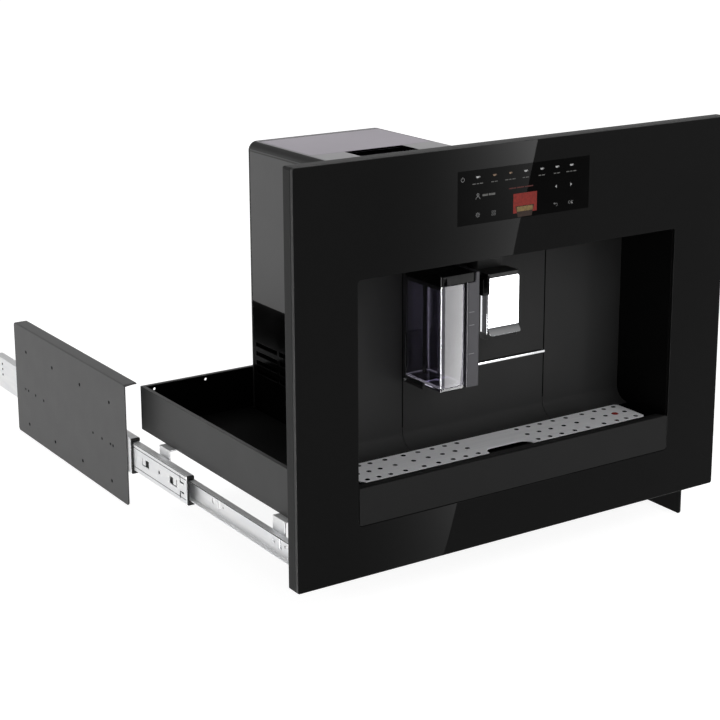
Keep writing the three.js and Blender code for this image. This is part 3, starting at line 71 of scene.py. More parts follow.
# %% [markdown]
# ## Units and places
# The frame is in metres. Its origin lies between the two slides, so sizes that read best from the front
# panel's lower edge and its front face go through one function, in millimetres.

# %% Millimetres from the panel's front face and lower edge
MM = 0.001
panel_low, panel_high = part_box("front_glass")
PANEL_FRONT = panel_low.y
PANEL_FOOT = panel_low.z


def place(x, y, z):
    """A point, in metres, from millimetres along, behind and above the panel's foot."""
    return Vector((x * MM, PANEL_FRONT + y * MM, PANEL_FOOT + z * MM))


print("panel", [round(v, 4) for v in panel_high - panel_low])

# %% [markdown]
# ## The camera
# The view comes from the left, from above the machine. With a long lens, from two metres away, the panel's
# far edge is still six sevenths as tall as the near one. The lens is shifted a little, as for a picture of
# furniture, so that upright edges stay nearly upright; tilting alone would make them lean together.

# %% Camera
EYE = Vector((-1.1653, -1.4711, 0.7479))
AZIMUTH = math.radians(33.112)
DIP = math.radians(13.955)
ROLL = math.radians(-0.248)
FOCAL = 1739.5 / 720  # in picture widths
SENSOR = 36.0

ahead = Vector((math.sin(AZIMUTH) * math.cos(DIP), math.cos(AZIMUTH) * math.cos(DIP), -math.sin(DIP)))
level = Vector((math.cos(AZIMUTH), -math.sin(AZIMUTH), 0))
upward = level.cross(ahead)
right = level * math.cos(ROLL) + upward * math.sin(ROLL)
top = upward * math.cos(ROLL) - level * math.sin(ROLL)

camera_data = bpy.data.cameras.new("camera")
camera_data.sensor_width = SENSOR
camera_data.lens = FOCAL * SENSOR
camera_data.shift_y = -0.12
camera = bpy.data.objects.new("camera", camera_data)
camera.matrix_world = Matrix.Translation(EYE) @ Matrix((right, top, -ahead)).transposed().to_4x4()
bpy.context.scene.collection.objects.link(camera)
bpy.context.scene.camera = camera
bpy.context.scene.view_settings.view_transform = "Standard"
print("lens", round(camera_data.lens, 1), "mm")

# %% [markdown]
# ## Colours and nodes
# Colours are written as a screen shows them, in sRGB. Blender's sockets want linear light, so one function
# turns a hex value into that. A second one adds a node, with its settings and what feeds it.

# %% Colour and node helpers


def linear(hex_colour, alpha=1.0):
    """An sRGB hex colour as linear light."""
    parts = [int(hex_colour[i : i + 2], 16) / 255 for i in (1, 3, 5)]
    return [p / 12.92 if p <= 0.04045 else ((p + 0.055) / 1.055) ** 2.4 for p in parts] + [alpha]


def add(tree, kind, settings=None, links=None):
    """Adds a node. Settings go to the socket of that name or number, or else to the node's own property."""
    node = tree.nodes.new(kind)
    for name, value in (settings or {}).items():
        if isinstance(name, int) or name in node.inputs:
            node.inputs[name].default_value = value
        else:
            setattr(node, name, value)
    for name, source in (links or {}).items():
        tree.links.new(source, node.inputs[name])
    return node


def blank(name):
    """A material without nodes, and its tree."""
    material = bpy.data.materials.new(name)
    material.use_nodes = True
    material.node_tree.nodes.clear()
    return material, material.node_tree


def start_material(name, colour, roughness, **sockets):
    """A material with one Principled shader; sockets are named with _ for a space."""
    material, tree = blank(name)
    settings = {key.replace("_", " "): value for key, value in sockets.items()}
    settings["Base Color"] = linear(colour)
    settings["Roughness"] = roughness
    shader = add(tree, "ShaderNodeBsdfPrincipled", settings)
    add(tree, "ShaderNodeOutputMaterial", links={"Surface": shader.outputs["BSDF"]})
    return material, tree, shader


print("colour and node helpers ready")

# %% [markdown]
# ## Grain and drift
# No real surface is even. Two things vary: its height, which is the grain that a tool, a brush or a powder
# leaves, and its colour or gloss, which drifts over a few centimetres. A photograph could be wrapped round
# each piece instead, but noise in the object's own millimetres needs no unwrapping and has no seams.

# %% Grain and drift


def patches(tree, size_mm, stretch, detail):
    """Noise in patches of a real size, stretched along an axis where the surface was brushed or drawn."""
    where = add(tree, "ShaderNodeTexCoord")
    scaled = add(tree, "ShaderNodeMapping", {"Scale": stretch}, {"Vector": where.outputs["Object"]})
    settings = {"Scale": 1 / (size_mm * MM), "Detail": detail}
    return add(tree, "ShaderNodeTexNoise", settings, {"Vector": scaled.outputs["Vector"]}).outputs[0]


def grain(tree, shader, size_mm, height_mm, stretch=(1, 1, 1), detail=2.0):
    """Bumps of a real size and height."""
    noise = patches(tree, size_mm, stretch, detail)
    bump = add(
        tree,
        "ShaderNodeBump",
        {"Distance": height_mm * MM, "Strength": 1.0},
        {"Height": noise},
    )
    tree.links.new(bump.outputs["Normal"], shader.inputs["Normal"])


def drift(tree, shader, socket, size_mm, low, high, stretch=(1, 1, 1), detail=3.0):
    """Lets a socket wander between two values, or two colours, over patches of a real size."""
    noise = patches(tree, size_mm, stretch, detail)
    if isinstance(low, str):
        ramp = add(tree, "ShaderNodeValToRGB", links={"Fac": noise})
        for stop, position, colour in zip(ramp.color_ramp.elements, (0.3, 0.7), (low, high)):
            stop.position = position
            stop.color = linear(colour)
        tree.links.new(ramp.outputs["Color"], shader.inputs[socket])
        return
    span = add(
        tree,
        "ShaderNodeMapRange",
        {"From Min": 0.3, "From Max": 0.7, "To Min": low, "To Max": high},
        {"Value": noise},
    )
    tree.links.new(span.outputs["Result"], shader.inputs[socket])


print("grain and drift ready")

# %% [markdown]
# ## Black glass
# The face is toughened float glass, ground along its edges and printed black on the back. Float glass is
# flat to a hair, so its gloss is sharp. In a white room it would mirror the room; here its reflectance is
# set low, because the photographed face stays nearly black. Only faint smears show, as wide as a hand.

# %% Glass materials
toughened_glass, tree, shader = start_material(
    "toughened_glass_black_backed", "#131313", 0.0, IOR=1.52, Specular_IOR_Level=0.04
)
drift(tree, shader, "Roughness", 70, 0.0, 0.012)
drift(tree, shader, "Base Color", 160, "#121212", "#141414")

ground_edge, tree, shader = start_material(
    "glass_ground_edge", "#363636", 0.5, IOR=1.52, Specular_IOR_Level=0.25
)
grain(tree, shader, 0.5, 0.01)
drift(tree, shader, "Base Color", 12, "#323232", "#3a3a3a")

screen_glass, tree, shader = start_material(
    "screen_glass_dark", "#080808", 0.0, IOR=1.52, Specular_IOR_Level=0.013
)
drift(tree, shader, "Roughness", 40, 0.0, 0.012)
drift(tree, shader, "Base Color", 60, "#070707", "#0a0a0a")
print("glass:", toughened_glass.name, ground_edge.name, screen_glass.name)

# %% [markdown]
# ## Moulded plastics
# The frame, the bay and the housings are ABS, injection moulded in spark-eroded tools, which leaves a fine
# even pebble. The eye sees it as a soft sheen. Polished tools give the gloss of the lower housing and of the
# milk lid. The pebble is really 0.2 mm wide; it is drawn at 0.8 mm, or the picture would lose it.

# %% Plastic materials
PEBBLE = 0.8


def moulded(name, colour, lighter, roughness, reflectance, height_mm=0.012):
    """ABS from a spark-eroded tool: an even pebble and a slight drift of colour."""
    material, tree, shader = start_material(
        name, colour, roughness, IOR=1.53, Specular_IOR_Level=reflectance
    )
    grain(tree, shader, PEBBLE, height_mm)
    drift(tree, shader, "Base Color", 90, colour, lighter)
    return material


frame_abs = moulded("abs_frame_charcoal", "#282828", "#2b2b2b", 0.45, 0.09)
bay_abs = moulded("abs_bay_black", "#2a2a2a", "#2d2d2d", 0.5, 0.12)
drip_abs = moulded("abs_drip_tray_black", "#1c1c1c", "#1f1f1f", 0.45, 0.08)
# The drip basin's near-black is painted shade, so that the gaps under the grid read dark.
basin_shade_abs = moulded("abs_basin_painted_shade", "#070707", "#090909", 0.5, 0.04)
spout_abs = moulded("abs_spout_black", "#262626", "#2a2a2a", 0.4, 0.3)
inner_abs = moulded("abs_inner_black", "#0e0e0e", "#111111", 0.45, 0.25)
housing_abs = moulded("abs_housing_grey", "#545454", "#585858", 0.45, 0.35)
# Painted light for the upper cover: its top lighter, and its rounds darker, than its sides.
housing_lit_top = moulded("abs_housing_grey_painted_top_light", "#868587", "#8c8b8d", 0.4, 0.35)
housing_round_shade = moulded("abs_housing_grey_painted_round_shade", "#303030", "#343434", 0.4, 0.2)
# Painted shade for the bay's right wall.
bay_shade = moulded("abs_bay_painted_shade_side", "#0a0a0a", "#0d0d0d", 0.5, 0.02)
# Painted shade, near black: for slots, joints, hole walls, the louvres, the rails' lips and the discs.
shadow_black = moulded("painted_shadow_black", "#020202", "#040404", 0.8, 0.0)
lid_abs = moulded("abs_lid_mauve_grey", "#8f8992", "#958f98", 0.38, 0.36)
strip_abs = moulded("abs_milk_housing_grey", "#3c3b40", "#403f44", 0.35, 0.35, 0.006)

lid_gloss, tree, shader = start_material(
    "abs_lid_polished_black", "#070707", 0.12, IOR=1.53, Specular_IOR_Level=0.07
)
drift(tree, shader, "Roughness", 30, 0.09, 0.16)
grain(tree, shader, 12, 0.01)

print_grey = moulded("printed_grey", "#7c7c7e", "#868688", 0.5, 0.3)

gloss_abs, tree, shader = start_material(
    "abs_polished_black", "#060606", 0.1, IOR=1.53, Specular_IOR_Level=0.05
)
drift(tree, shader, "Roughness", 50, 0.09, 0.17)
grain(tree, shader, 12, 0.01)

rubber, tree, shader = start_material("epdm_rubber_black", "#101010", 0.75, IOR=1.5)
grain(tree, shader, 0.9, 0.02)
drift(tree, shader, "Base Color", 20, "#0d0d0d", "#151515")

float_red, tree, shader = start_material(
    "pp_float_red", "#86110d", 0.4, IOR=1.49, Specular_IOR_Level=0.15
)
drift(tree, shader, "Base Color", 4, "#7c0f0b", "#90140f")
grain(tree, shader, 0.6, 0.01)
print("plastics made")

# %% [markdown]
# ## Clear plastics
# The milk jug is clear SAN with a violet cast, which shows where one looks through its edges. Clear
# plastic is a refracting solid with an inner and an outer face. The tint goes in the surface colour: a ray
# crosses two or more walls, so it is kept light.

# %% Clear materials


def clear(name, colour, roughness):
    """Clear moulded SAN, polished, with faint smears."""
    material, tree, shader = start_material(
        name, colour, roughness, IOR=1.57, Transmission_Weight=1.0
    )
    drift(tree, shader, "Roughness", 30, roughness, roughness * 2)
    return material


jug_san = clear("san_clear_violet", "#dad6e8", 0.01)
tank_san = clear("san_smoked", "#a9adb2", 0.05)
hopper_san = clear("san_smoked_brown", "#9c928a", 0.06)
print("clear plastics made")

# %% [markdown]
# ## Metals
# The spout's cover is bright chrome on ABS. The grid is stainless sheet, brushed along its length: long
# scratches that spread a highlight across them. The slides are cold-rolled steel with blue-white zinc, a
# little matt, with faint streaks from the rolls. A metal keeps Blender's own IOR; its colour sets the gloss.

# %% Metal materials
chrome, tree, shader = start_material("chrome_plating", "#e9eaec", 0.05, Metallic=1.0)
drift(tree, shader, "Roughness", 18, 0.03, 0.08)

brushed, tree, shader = start_material("stainless_brushed", "#f4f4f6", 0.45, Metallic=0.2)
grain(tree, shader, 0.7, 0.006, stretch=(0.02, 1, 1), detail=4)
drift(tree, shader, "Base Color", 3, "#f0f0f3", "#f8f8fa", stretch=(0.03, 1, 1))

zinc, tree, shader = start_material("steel_zinc_plated", "#f6f7f8", 0.42, Metallic=0.6)
grain(tree, shader, 1.2, 0.006, stretch=(1, 0.04, 1), detail=3)
drift(tree, shader, "Base Color", 9, "#f0f1f3", "#fbfbfb", stretch=(1, 0.15, 1))

cage_nylon = moulded("nylon_ball_cage", "#0c0c0c", "#101010", 0.45, 0.25)

balls, tree, shader = start_material("ball_bearing_steel", "#dadcde", 0.12, Metallic=1.0)
drift(tree, shader, "Roughness", 2, 0.08, 0.2)

cast, tree, shader = start_material("aluminium_cast", "#a7a9ac", 0.5, Metallic=1.0)
grain(tree, shader, 1.5, 0.05)
drift(tree, shader, "Base Color", 12, "#9a9c9f", "#b2b4b7")
print("metals made")

# %% [markdown]
# ## Powder coat
# The plates and the tray are folded steel sheet with a baked powder coat. Powder melts into a skin with a
# gentle orange peel, about 1.5 mm from crest to crest. The peel is a few hundredths of a millimetre high,
# which only a highlight shows, so a bump draws it and the mesh stays flat.

# %% Powder-coat materials


def powder(name, colour, lighter, roughness, reflectance):
    """Powder coat: orange peel and a slight mottle."""
    material, tree, shader = start_material(
        name, colour, roughness, IOR=1.5, Specular_IOR_Level=reflectance
    )
    grain(tree, shader, 1.5, 0.02)
    drift(tree, shader, "Base Color", 35, colour, lighter)
    return material


plate_powder = powder("powder_coat_grey", "#595959", "#5d5d5d", 0.45, 0.2)
# Painted shade for the plates' side that looks at the machine.
plate_inside_shade = powder("plate_inside_painted_shade", "#0c0c0c", "#101010", 0.55, 0.05)
tray_powder = powder("powder_coat_charcoal", "#3c3c3c", "#404040", 0.42, 0.24)
# Painted shade for the rails' rolled grooves.
rail_groove_shade = powder("steel_groove_painted_shade", "#4a4b4d", "#525355", 0.5, 0.1)
# Painted shade for the tray's inside.
tray_inside_shade = powder("tray_inside_painted_shade", "#080808", "#0b0b0b", 0.5, 0.15)
cover_powder = powder("powder_coat_black", "#232323", "#272727", 0.45, 0.35)
print("powder coats made")

# %% [markdown]
# ## Lit marks
# The display shines through the black print. Each mark is a thin film on the glass with a shader that
# glows at the photographed level, so that it looks the same in any light. A mark in plain paint would dim
# with the lamps.

# %% Lit materials


def lit(name, colour, edge_colour):
    """A glowing film whose light varies a little over a few millimetres."""
    material, tree, shader = start_material(name, "#050505", 0.3, Specular_IOR_Level=0.1)
    shader.inputs["Emission Strength"].default_value = 1.0
    drift(tree, shader, "Emission Color", 3, edge_colour, colour)
    return material


lit_white = lit("lit_mark_white", "#b4b4b4", "#8c8c8c")
lit_grey = lit("lit_label_grey", "#646462", "#484846")
lit_cream = lit("lit_mark_cream", "#8a7562", "#604c3e")
lit_red = lit("lit_screen_red", "#80221a", "#641a14")
lit_title = lit("lit_title_red", "#542622", "#3c1b19")
lit_line = lit("lit_line_grey", "#8c8c8c", "#686868")
lit_brown = lit("lit_screen_brown", "#33231b", "#241914")
lit_dim = lit("lit_line_dim", "#6c6c6c", "#505050")
lit_gleam = lit("light_caught_in_edges", "#a6a4aa", "#5c5a60")
lit_tan = lit("lit_screen_tan", "#7c6840", "#5c4c30")
print("lit marks ready")

# %% [markdown]
# ## From mesh work to pieces
# A piece is built as bmesh work, free of the editor and its selections, and then turned into an object.
# It takes its finish, and it moves with the body of a node of the frame. Where one moulding shows more
# than one finish, such as a dark inside, faces are picked by where they lie and which way they look: that
# needs no painted mask, and it holds if the frame's sizes change.

# %% Piece helpers


def link(obj):
    """Puts an object into the scene."""
    bpy.context.scene.collection.objects.link(obj)
    return obj


def built(name, work):
    """Turns bmesh work into an object at the origin."""
    mesh = bpy.data.meshes.new(name)
    work.to_mesh(mesh)
    work.free()
    return link(bpy.data.objects.new(name, mesh))


def settle(piece, node, material):
    """Gives a piece its finish, and the body of a node."""
    piece.data.materials.clear()
    piece.data.materials.append(material)
    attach(piece, body_of[node])
    return piece


def paint(piece, material, chosen):
    """Gives one more finish to the faces that a test of centre and normal picks."""
    piece.data.materials.append(material)
    for face in piece.data.polygons:
        if chosen(face.center, face.normal):
            face.material_index = len(piece.data.materials) - 1


print("piece helpers ready")

# %% [markdown]
# ## Rounded copies of the solids
# No moulded or folded edge is perfectly sharp, and the thin highlight along it is what makes a surface look
# real. So each solid of the frame is stood for by a copy: its flat faces are merged, its sharp edges are
# rounded by a few tenths of a millimetre, and its normals are weighted so that flat faces stay flat. A Bevel
# modifier picks edges by their angle alone. Here bmesh leaves the short ones as they are, such as those of a
# punched hole's facets, where a round would fold over itself.

# %% Rounding helpers
SHARP = math.radians(50)  # two facets that meet at less belong to a round


def shade(obj, sharp=SHARP):
    """Smooth across rounds, crisp at corners, flat on flats."""
    obj.data.shade_smooth()
    obj.data.set_sharp_from_angle(angle=sharp)
    weighted = obj.modifiers.new("weighted normals", "WEIGHTED_NORMAL")
    weighted.keep_sharp = True
    return obj


def round_edges(work, edge_mm, steps=2, shortest_mm=4.0):
    """Rounds the sharp edges that are long enough to carry the round."""
    corners = [
        edge
        for edge in work.edges
        if len(edge.link_faces) == 2
        and edge.calc_face_angle(0) > SHARP
        and edge.calc_length() > shortest_mm * MM
    ]
    bmesh.ops.bevel(
        work,
        geom=corners,
        offset=edge_mm * MM,
        segments=steps,
        profile=0.5,
        affect="EDGES",
        clamp_overlap=False,
    )


def ease(node, material, edge_mm=0.4, steps=2, shortest_mm=4.0):
    """A rounded copy that stands for a node of the frame."""
    mesh = frame["nodes"][node].data.copy()
    work = bmesh.new()
    work.from_mesh(mesh)
    bmesh.ops.remove_doubles(work, verts=work.verts, dist=1e-6)
    bmesh.ops.dissolve_limit(
        work, angle_limit=math.radians(0.5), verts=work.verts, edges=work.edges
    )
    if edge_mm:
        round_edges(work, edge_mm, steps, shortest_mm)
    work.to_mesh(mesh)
    work.free()
    piece = link(bpy.data.objects.new(f"{node}_piece", mesh))
    settle(piece, node, material)
    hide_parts(node)
    return shade(piece)


print("rounding ready")

# %% [markdown]
# ## Flat shapes with holes
# The glass, the grid and the marks are flat sheets cut to an outline, so the outline comes first. A corner
# or a hole is a few points on a circle, as many as the eye needs at its size.

# %% Outline helpers
CORNER_STEPS = 6


def rounded_loop(x0, x1, y0, y1, radius):
    """The points of a rectangle with round corners."""
    if radius <= 0:
        return [(x0, y0), (x1, y0), (x1, y1), (x0, y1)]
    centres = [(x1 - radius, y0 + radius), (x1 - radius, y1 - radius)]
    centres += [(x0 + radius, y1 - radius), (x0 + radius, y0 + radius)]
    points = []
    for quarter, (cx, cy) in enumerate(centres):
        for step in range(CORNER_STEPS + 1):
            angle = (quarter - 1 + step / CORNER_STEPS) * math.pi / 2
            points.append((cx + radius * math.cos(angle), cy + radius * math.sin(angle)))
    return points


def circle_loop(cx, cy, radius, steps=24, start=0.0, turn=2 * math.pi):
    """Points round a circle, or round part of one."""
    last = steps if turn < 2 * math.pi else steps - 1
    angles = [start + turn * i / steps for i in range(last + 1)]
    return [(cx + radius * math.cos(a), cy + radius * math.sin(a)) for a in angles]


print("outline helpers ready")

# %% [markdown]
# ## Sheets and slabs
# A filled 2-D curve is the shortest way to a sheet: its loops become the outline and the holes, it is pushed
# to a thickness, and its edges are rounded with the curve's own bevel. A slab with boolean holes would need
# its triangles cleaned up. Strips too thin to need a round are plain slabs.

# %% Sheet helpers


def sheet_of(name, loops, thickness_mm, round_mm=0.0, upright=True):
    """A flat piece from loops in mm. Upright, it faces forward with its middle plane at y 0."""
    curve = bpy.data.curves.new(name, "CURVE")
    curve.dimensions = "2D"
    curve.fill_mode = "BOTH"
    curve.extrude = (thickness_mm / 2 - round_mm) * MM
    curve.bevel_depth = round_mm * MM
    curve.bevel_resolution = 2
    curve.offset = -round_mm * MM
    for loop in loops:
        spline = curve.splines.new("POLY")
        spline.points.add(len(loop) - 1)
        for point, (x, y) in zip(spline.points, loop):
            point.co = (x * MM, y * MM, 0, 1)
        spline.use_cyclic_u = True
    obj = link(bpy.data.objects.new(name, curve))
    bpy.context.view_layer.update()
    mesh = bpy.data.meshes.new_from_object(obj.evaluated_get(bpy.context.evaluated_depsgraph_get()))
    bpy.data.objects.remove(obj)
    bpy.data.curves.remove(curve)
    if upright:
        mesh.transform(Matrix.Rotation(math.pi / 2, 4, "X"))
    work = bmesh.new()
    work.from_mesh(mesh)
    bmesh.ops.remove_doubles(work, verts=work.verts, dist=1e-6)
    bmesh.ops.recalc_face_normals(work, faces=work.faces)
    work.to_mesh(mesh)
    work.free()
    return link(bpy.data.objects.new(name, mesh))


def shift_mesh(piece, offset):
    """Moves a piece's points, and leaves its object at the origin."""
    piece.data.transform(Matrix.Translation(offset))
    return piece


def slab(name, low, high):
    """A box between two corners, in metres."""
    work = bmesh.new()
    bmesh.ops.create_cube(work, size=1.0)
    size = Vector(high) - Vector(low)
    middle = (Vector(high) + Vector(low)) / 2
    for vert in work.verts:
        vert.co = Vector([middle[i] + vert.co[i] * size[i] for i in range(3)])
    return built(name, work)


print("sheet helpers ready")

# %% [markdown]
# ## The glass face
# The pane is 595 by 455 mm and 4 mm thick, with the bay cut out of it. Its ground edge catches the light
# as a thin bright line. A bump can't draw that along a silhouette, so the round is real geometry.

# %% Glass face
glass_low, glass_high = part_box("front_glass")
liner_low, liner_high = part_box("bay_liner")
LINER_WALL = 2.5
BAY = (liner_low.x / MM + LINER_WALL, liner_high.x / MM - LINER_WALL)
BAY_SILL = (liner_low.z - PANEL_FOOT) / MM + LINER_WALL
BAY_TOP = (liner_high.z - PANEL_FOOT) / MM - LINER_WALL
WIDTH = (glass_high.x - glass_low.x) / MM
HEIGHT = (glass_high.z - glass_low.z) / MM
RIM = 5 * MM
THICKNESS = (glass_high.y - glass_low.y) / MM

pane = sheet_of(
    "front_glass_piece",
    [
        rounded_loop(-WIDTH / 2, WIDTH / 2, 0, HEIGHT, 3),
        rounded_loop(BAY[0], BAY[1], BAY_SILL, BAY_TOP, 4)[::-1],
    ],
    THICKNESS,
    round_mm=0.7,
)
shift_mesh(pane, place(0, THICKNESS / 2, 0))
settle(pane, "front_glass", toughened_glass)


def on_rim(centre, normal):
    """The pane's outer edge, ground all round."""
    inset = min(
        centre.x - glass_low.x,
        glass_high.x - centre.x,
        centre.z - glass_low.z,
        glass_high.z - centre.z,
    )
    return normal.y > -0.99 and inset < RIM


paint(pane, ground_edge, on_rim)
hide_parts("front_glass")
shade(pane)
print("pane", [round(v, 1) for v in (WIDTH, HEIGHT, THICKNESS)], "mm")
print("bay", [round(v, 1) for v in (*BAY, BAY_SILL, BAY_TOP)], "mm")

# %% [markdown]
# ## The display's window and marks
# Behind the glass a strip of screen is darker than the print round it. The marks on it are generic: a
# power ring, seven cups, a person, a gear, a grid, arrows and OK, and a small picture of a glass of coffee.
# The strip is a film 0.06 mm proud of the glass, and the marks lie on it.

# %% Window film
WINDOW_X = (-94.2, 86.9)
WINDOW_Z = (370.4, 429.5)
FILM = 0.06
MARK = 0.08

window = sheet_of("display_window", [rounded_loop(*WINDOW_X, *WINDOW_Z, 0.5)], FILM)
shift_mesh(window, place(0, -FILM / 2, 0))
settle(window, "touch_display", screen_glass)
print("window", [round(b - a, 1) for a, b in (WINDOW_X, WINDOW_Z)], "mm")

# %% [markdown]
# ## Marks
# On the real display each mark is a hole in the black print with a lamp behind it. Here it is a flat film of
# its own, so that it keeps its edge from near by. A mark is a list of loops: outlines, holes, and strokes of
# an even width. A word becomes a row of dashes.

# %% Mark helpers


def mark(name, loops, material):
    """Flat lit marks on the window, in millimetres from the panel's middle and foot."""
    piece = sheet_of(name, loops, MARK)
    shift_mesh(piece, place(0, -FILM - MARK / 2 - 0.01, 0))
    settle(piece, "touch_display", material)


def stroke(points, width):
    """The outline of a line of even width through points."""
    left, right_side = [], []
    for i, (x, y) in enumerate(points):
        before = points[max(i - 1, 0)]
        after = points[min(i + 1, len(points) - 1)]
        dx, dy = after[0] - before[0], after[1] - before[1]
        length = math.hypot(dx, dy)
        nx, ny = -dy / length * width / 2, dx / length * width / 2
        left.append((x + nx, y + ny))
        right_side.append((x - nx, y - ny))
    return left + right_side[::-1]


def label(cx, cz, dashes, pitch=2.2, height=1.0):
    """A row of dashes that stands for a word."""
    total = (sum(dashes) + (len(dashes) - 1) * 0.5) * pitch
    loops, x = [], cx - total / 2
    for dash in dashes:
        loops.append(rounded_loop(x, x + dash * pitch, cz - height / 2, cz + height / 2, 0.3))
        x += (dash + 0.5) * pitch
    return loops


print("mark helpers ready")

# %% [markdown]
# ## The row of drinks
# On the real display each drink is a small icon over its name. Seven cups of different widths stand for
# them, two in cream. They could be drawn one by one; all come from one function, so that they stay alike.

# %% Drinks
DRINKS_X = (-67.7, -45.5, -24.0, -3.0, 19.2, 40.4, 60.9)
DRINKS_Z = 421.4
LABEL_DROP = 7.0
CUP_WIDTHS = (5.0, 4.6, 3.4, 4.8, 4.4, 4.6, 4.6)


def cup(cx, cz, width, height=1.9):
    """A cup from the side: a bowl that narrows to its foot, and an ear."""
    half = width / 2
    bowl = [(cx - half, cz + height / 2), (cx - half * 0.55, cz - height / 2)]
    bowl += [(cx + half * 0.55, cz - height / 2), (cx + half, cz + height / 2)]
    ear = stroke(circle_loop(cx + half, cz + 0.2, 0.6, 8, -math.pi / 2, math.pi), 0.35)
    return [bowl, ear]


light_cups, cream_cups, labels = [], [], []
for number, (x, width) in enumerate(zip(DRINKS_X, CUP_WIDTHS)):
    target = cream_cups if number in (1, 2) else light_cups
    target.extend(cup(x, DRINKS_Z, width))
    labels += label(x, DRINKS_Z - LABEL_DROP, (2, 1.4, 2) if number in (0, 2, 6) else (1.6, 1.8))
mark("drink_marks", light_cups, lit_white)
mark("drink_marks_cream", cream_cups, lit_cream)
print("drinks:", len(DRINKS_X))

# %% [markdown]
# ## Keys
# Round the drinks stand the keys: power, a person, a gear, four tiles, two arrows, a way back, and OK. A
# symbol font has such signs, but each is someone's drawing, so these are plain geometry: rings and strokes
# as thin as the real ones, 0.35 to 0.45 mm.

# %% Key helpers
POWER = (-87.6, 420.3)
PERSON = (-67.3, 400.5)
GEAR = (-67.3, 380.3)
TILES = (-46.0, 380.1)
LEFT_ARROW, RIGHT_ARROW = (39.8, 399.7), (60.9, 399.8)
BACK = (39.8, 380.0)
OK_KEY = (61.4, 379.8)
LINE = 0.45
THIN_LINE = 0.35
TOOTH = [(2.0, -0.4), (2.9, -0.3), (2.9, 0.3), (2.0, 0.4)]


def ring(cx, cz, radius, width=LINE, steps=20, start=0.0, turn=2 * math.pi):
    """A round line: a full ring is an outer loop and a hole."""
    if turn < 2 * math.pi:
        return [stroke(circle_loop(cx, cz, radius, steps, start, turn), width)]
    return [
        circle_loop(cx, cz, radius + width / 2, steps),
        circle_loop(cx, cz, radius - width / 2, steps)[::-1],
    ]


def turned(points, cx, cz, angle):
    """Points turned about a centre."""
    c, s = math.cos(angle), math.sin(angle)
    return [(cx + x * c - z * s, cz + x * s + z * c) for x, z in points]


print("key helpers ready")

# %% [markdown]
# ## The keys' outlines
# Three groups glow at three levels, as the real ones do: the main keys, the dimmer ones, and the arrows.
# Each group is one film, so that it takes one finish.

# %% Keys
arrows = []
keys = ring(*POWER, 2.1, start=math.radians(120), turn=math.radians(300))
keys.append(stroke([(POWER[0], POWER[1] + 0.6), (POWER[0], POWER[1] + 3.0)], LINE))
keys += ring(PERSON[0], PERSON[1] + 1.7, 1.3)
keys += ring(PERSON[0], PERSON[1] - 3.0, 2.7, start=0, turn=math.pi)
dim_keys = ring(*GEAR, 1.8, 0.4) + ring(*GEAR, 0.8, 0.3)
for tooth in range(8):
    dim_keys.append(turned(TOOTH, *GEAR, tooth * math.pi / 4))
for column in (-1, 1):
    for row in (-1, 1):
        x, z = TILES[0] + column * 1.5, TILES[1] + row * 1.5
        dim_keys.append(rounded_loop(x - 1.1, x + 1.1, z - 1.1, z + 1.1, 0.2))
        dim_keys.append(rounded_loop(x - 0.75, x + 0.75, z - 0.75, z + 0.75, 0.1)[::-1])
for (x, z), side in ((LEFT_ARROW, -1), (RIGHT_ARROW, 1)):
    arrow = [(x + side * 1.4, z), (x - side * 0.9, z + 1.8), (x - side * 0.9, z - 1.8)]
    arrows.append(arrow if side > 0 else arrow[::-1])
hook = [(BACK[0] - 2.4, BACK[1] + 0.7), (BACK[0] + 0.8, BACK[1] + 0.7)]
hook += circle_loop(BACK[0] + 0.8, BACK[1] - 0.8, 1.5, 8, math.pi / 2, -math.pi)[1:]
dim_keys.append(stroke(hook, LINE))
barb = [(BACK[0] - 3.4, BACK[1] + 0.7), (BACK[0] - 1.8, BACK[1] + 1.9), (BACK[0] - 1.8, BACK[1] - 0.5)]
dim_keys.append(barb[::-1])
ok_x, ok_z = OK_KEY
keys += ring(ok_x - 2.2, ok_z, 1.4, THIN_LINE, steps=16)
keys.append(stroke([(ok_x + 0.7, ok_z - 1.7), (ok_x + 0.7, ok_z + 1.7)], THIN_LINE))
for end in (-1.7, 1.7):
    keys.append(stroke([(ok_x + 0.95, ok_z), (ok_x + 2.7, ok_z + end)], THIN_LINE))
mark("key_marks", keys, lit_line)
mark("key_marks_dim", dim_keys, lit_dim)
mark("arrow_marks", arrows, lit_white)

labels += label(PERSON[0] + 14.5, PERSON[1] + 0.6, (3.4, 3.8), height=2.2)
mark("key_labels", labels, lit_grey)
print("keys:", len(keys), "loops; labels:", len(labels), "dashes")

# %% [markdown]
# ## The picture on the screen
# The middle of the display shows a small picture: a red ground, and on it a tumbler with pale foam. The red
# tile is cut out round the tumbler, because two films in one plane would flicker.

# %% Picture on the screen
PICTURE_X = (-19.4, 13.0)
PICTURE_Z = (376.0, 397.6)
TITLE_Z = 404.2
GLASS_X, GLASS_Z = (-16.2, 9.2), (371.4, 383.4)
FOOT_HALF = 9.5
FOAM_HALF = 11.0
GAP = 0.15

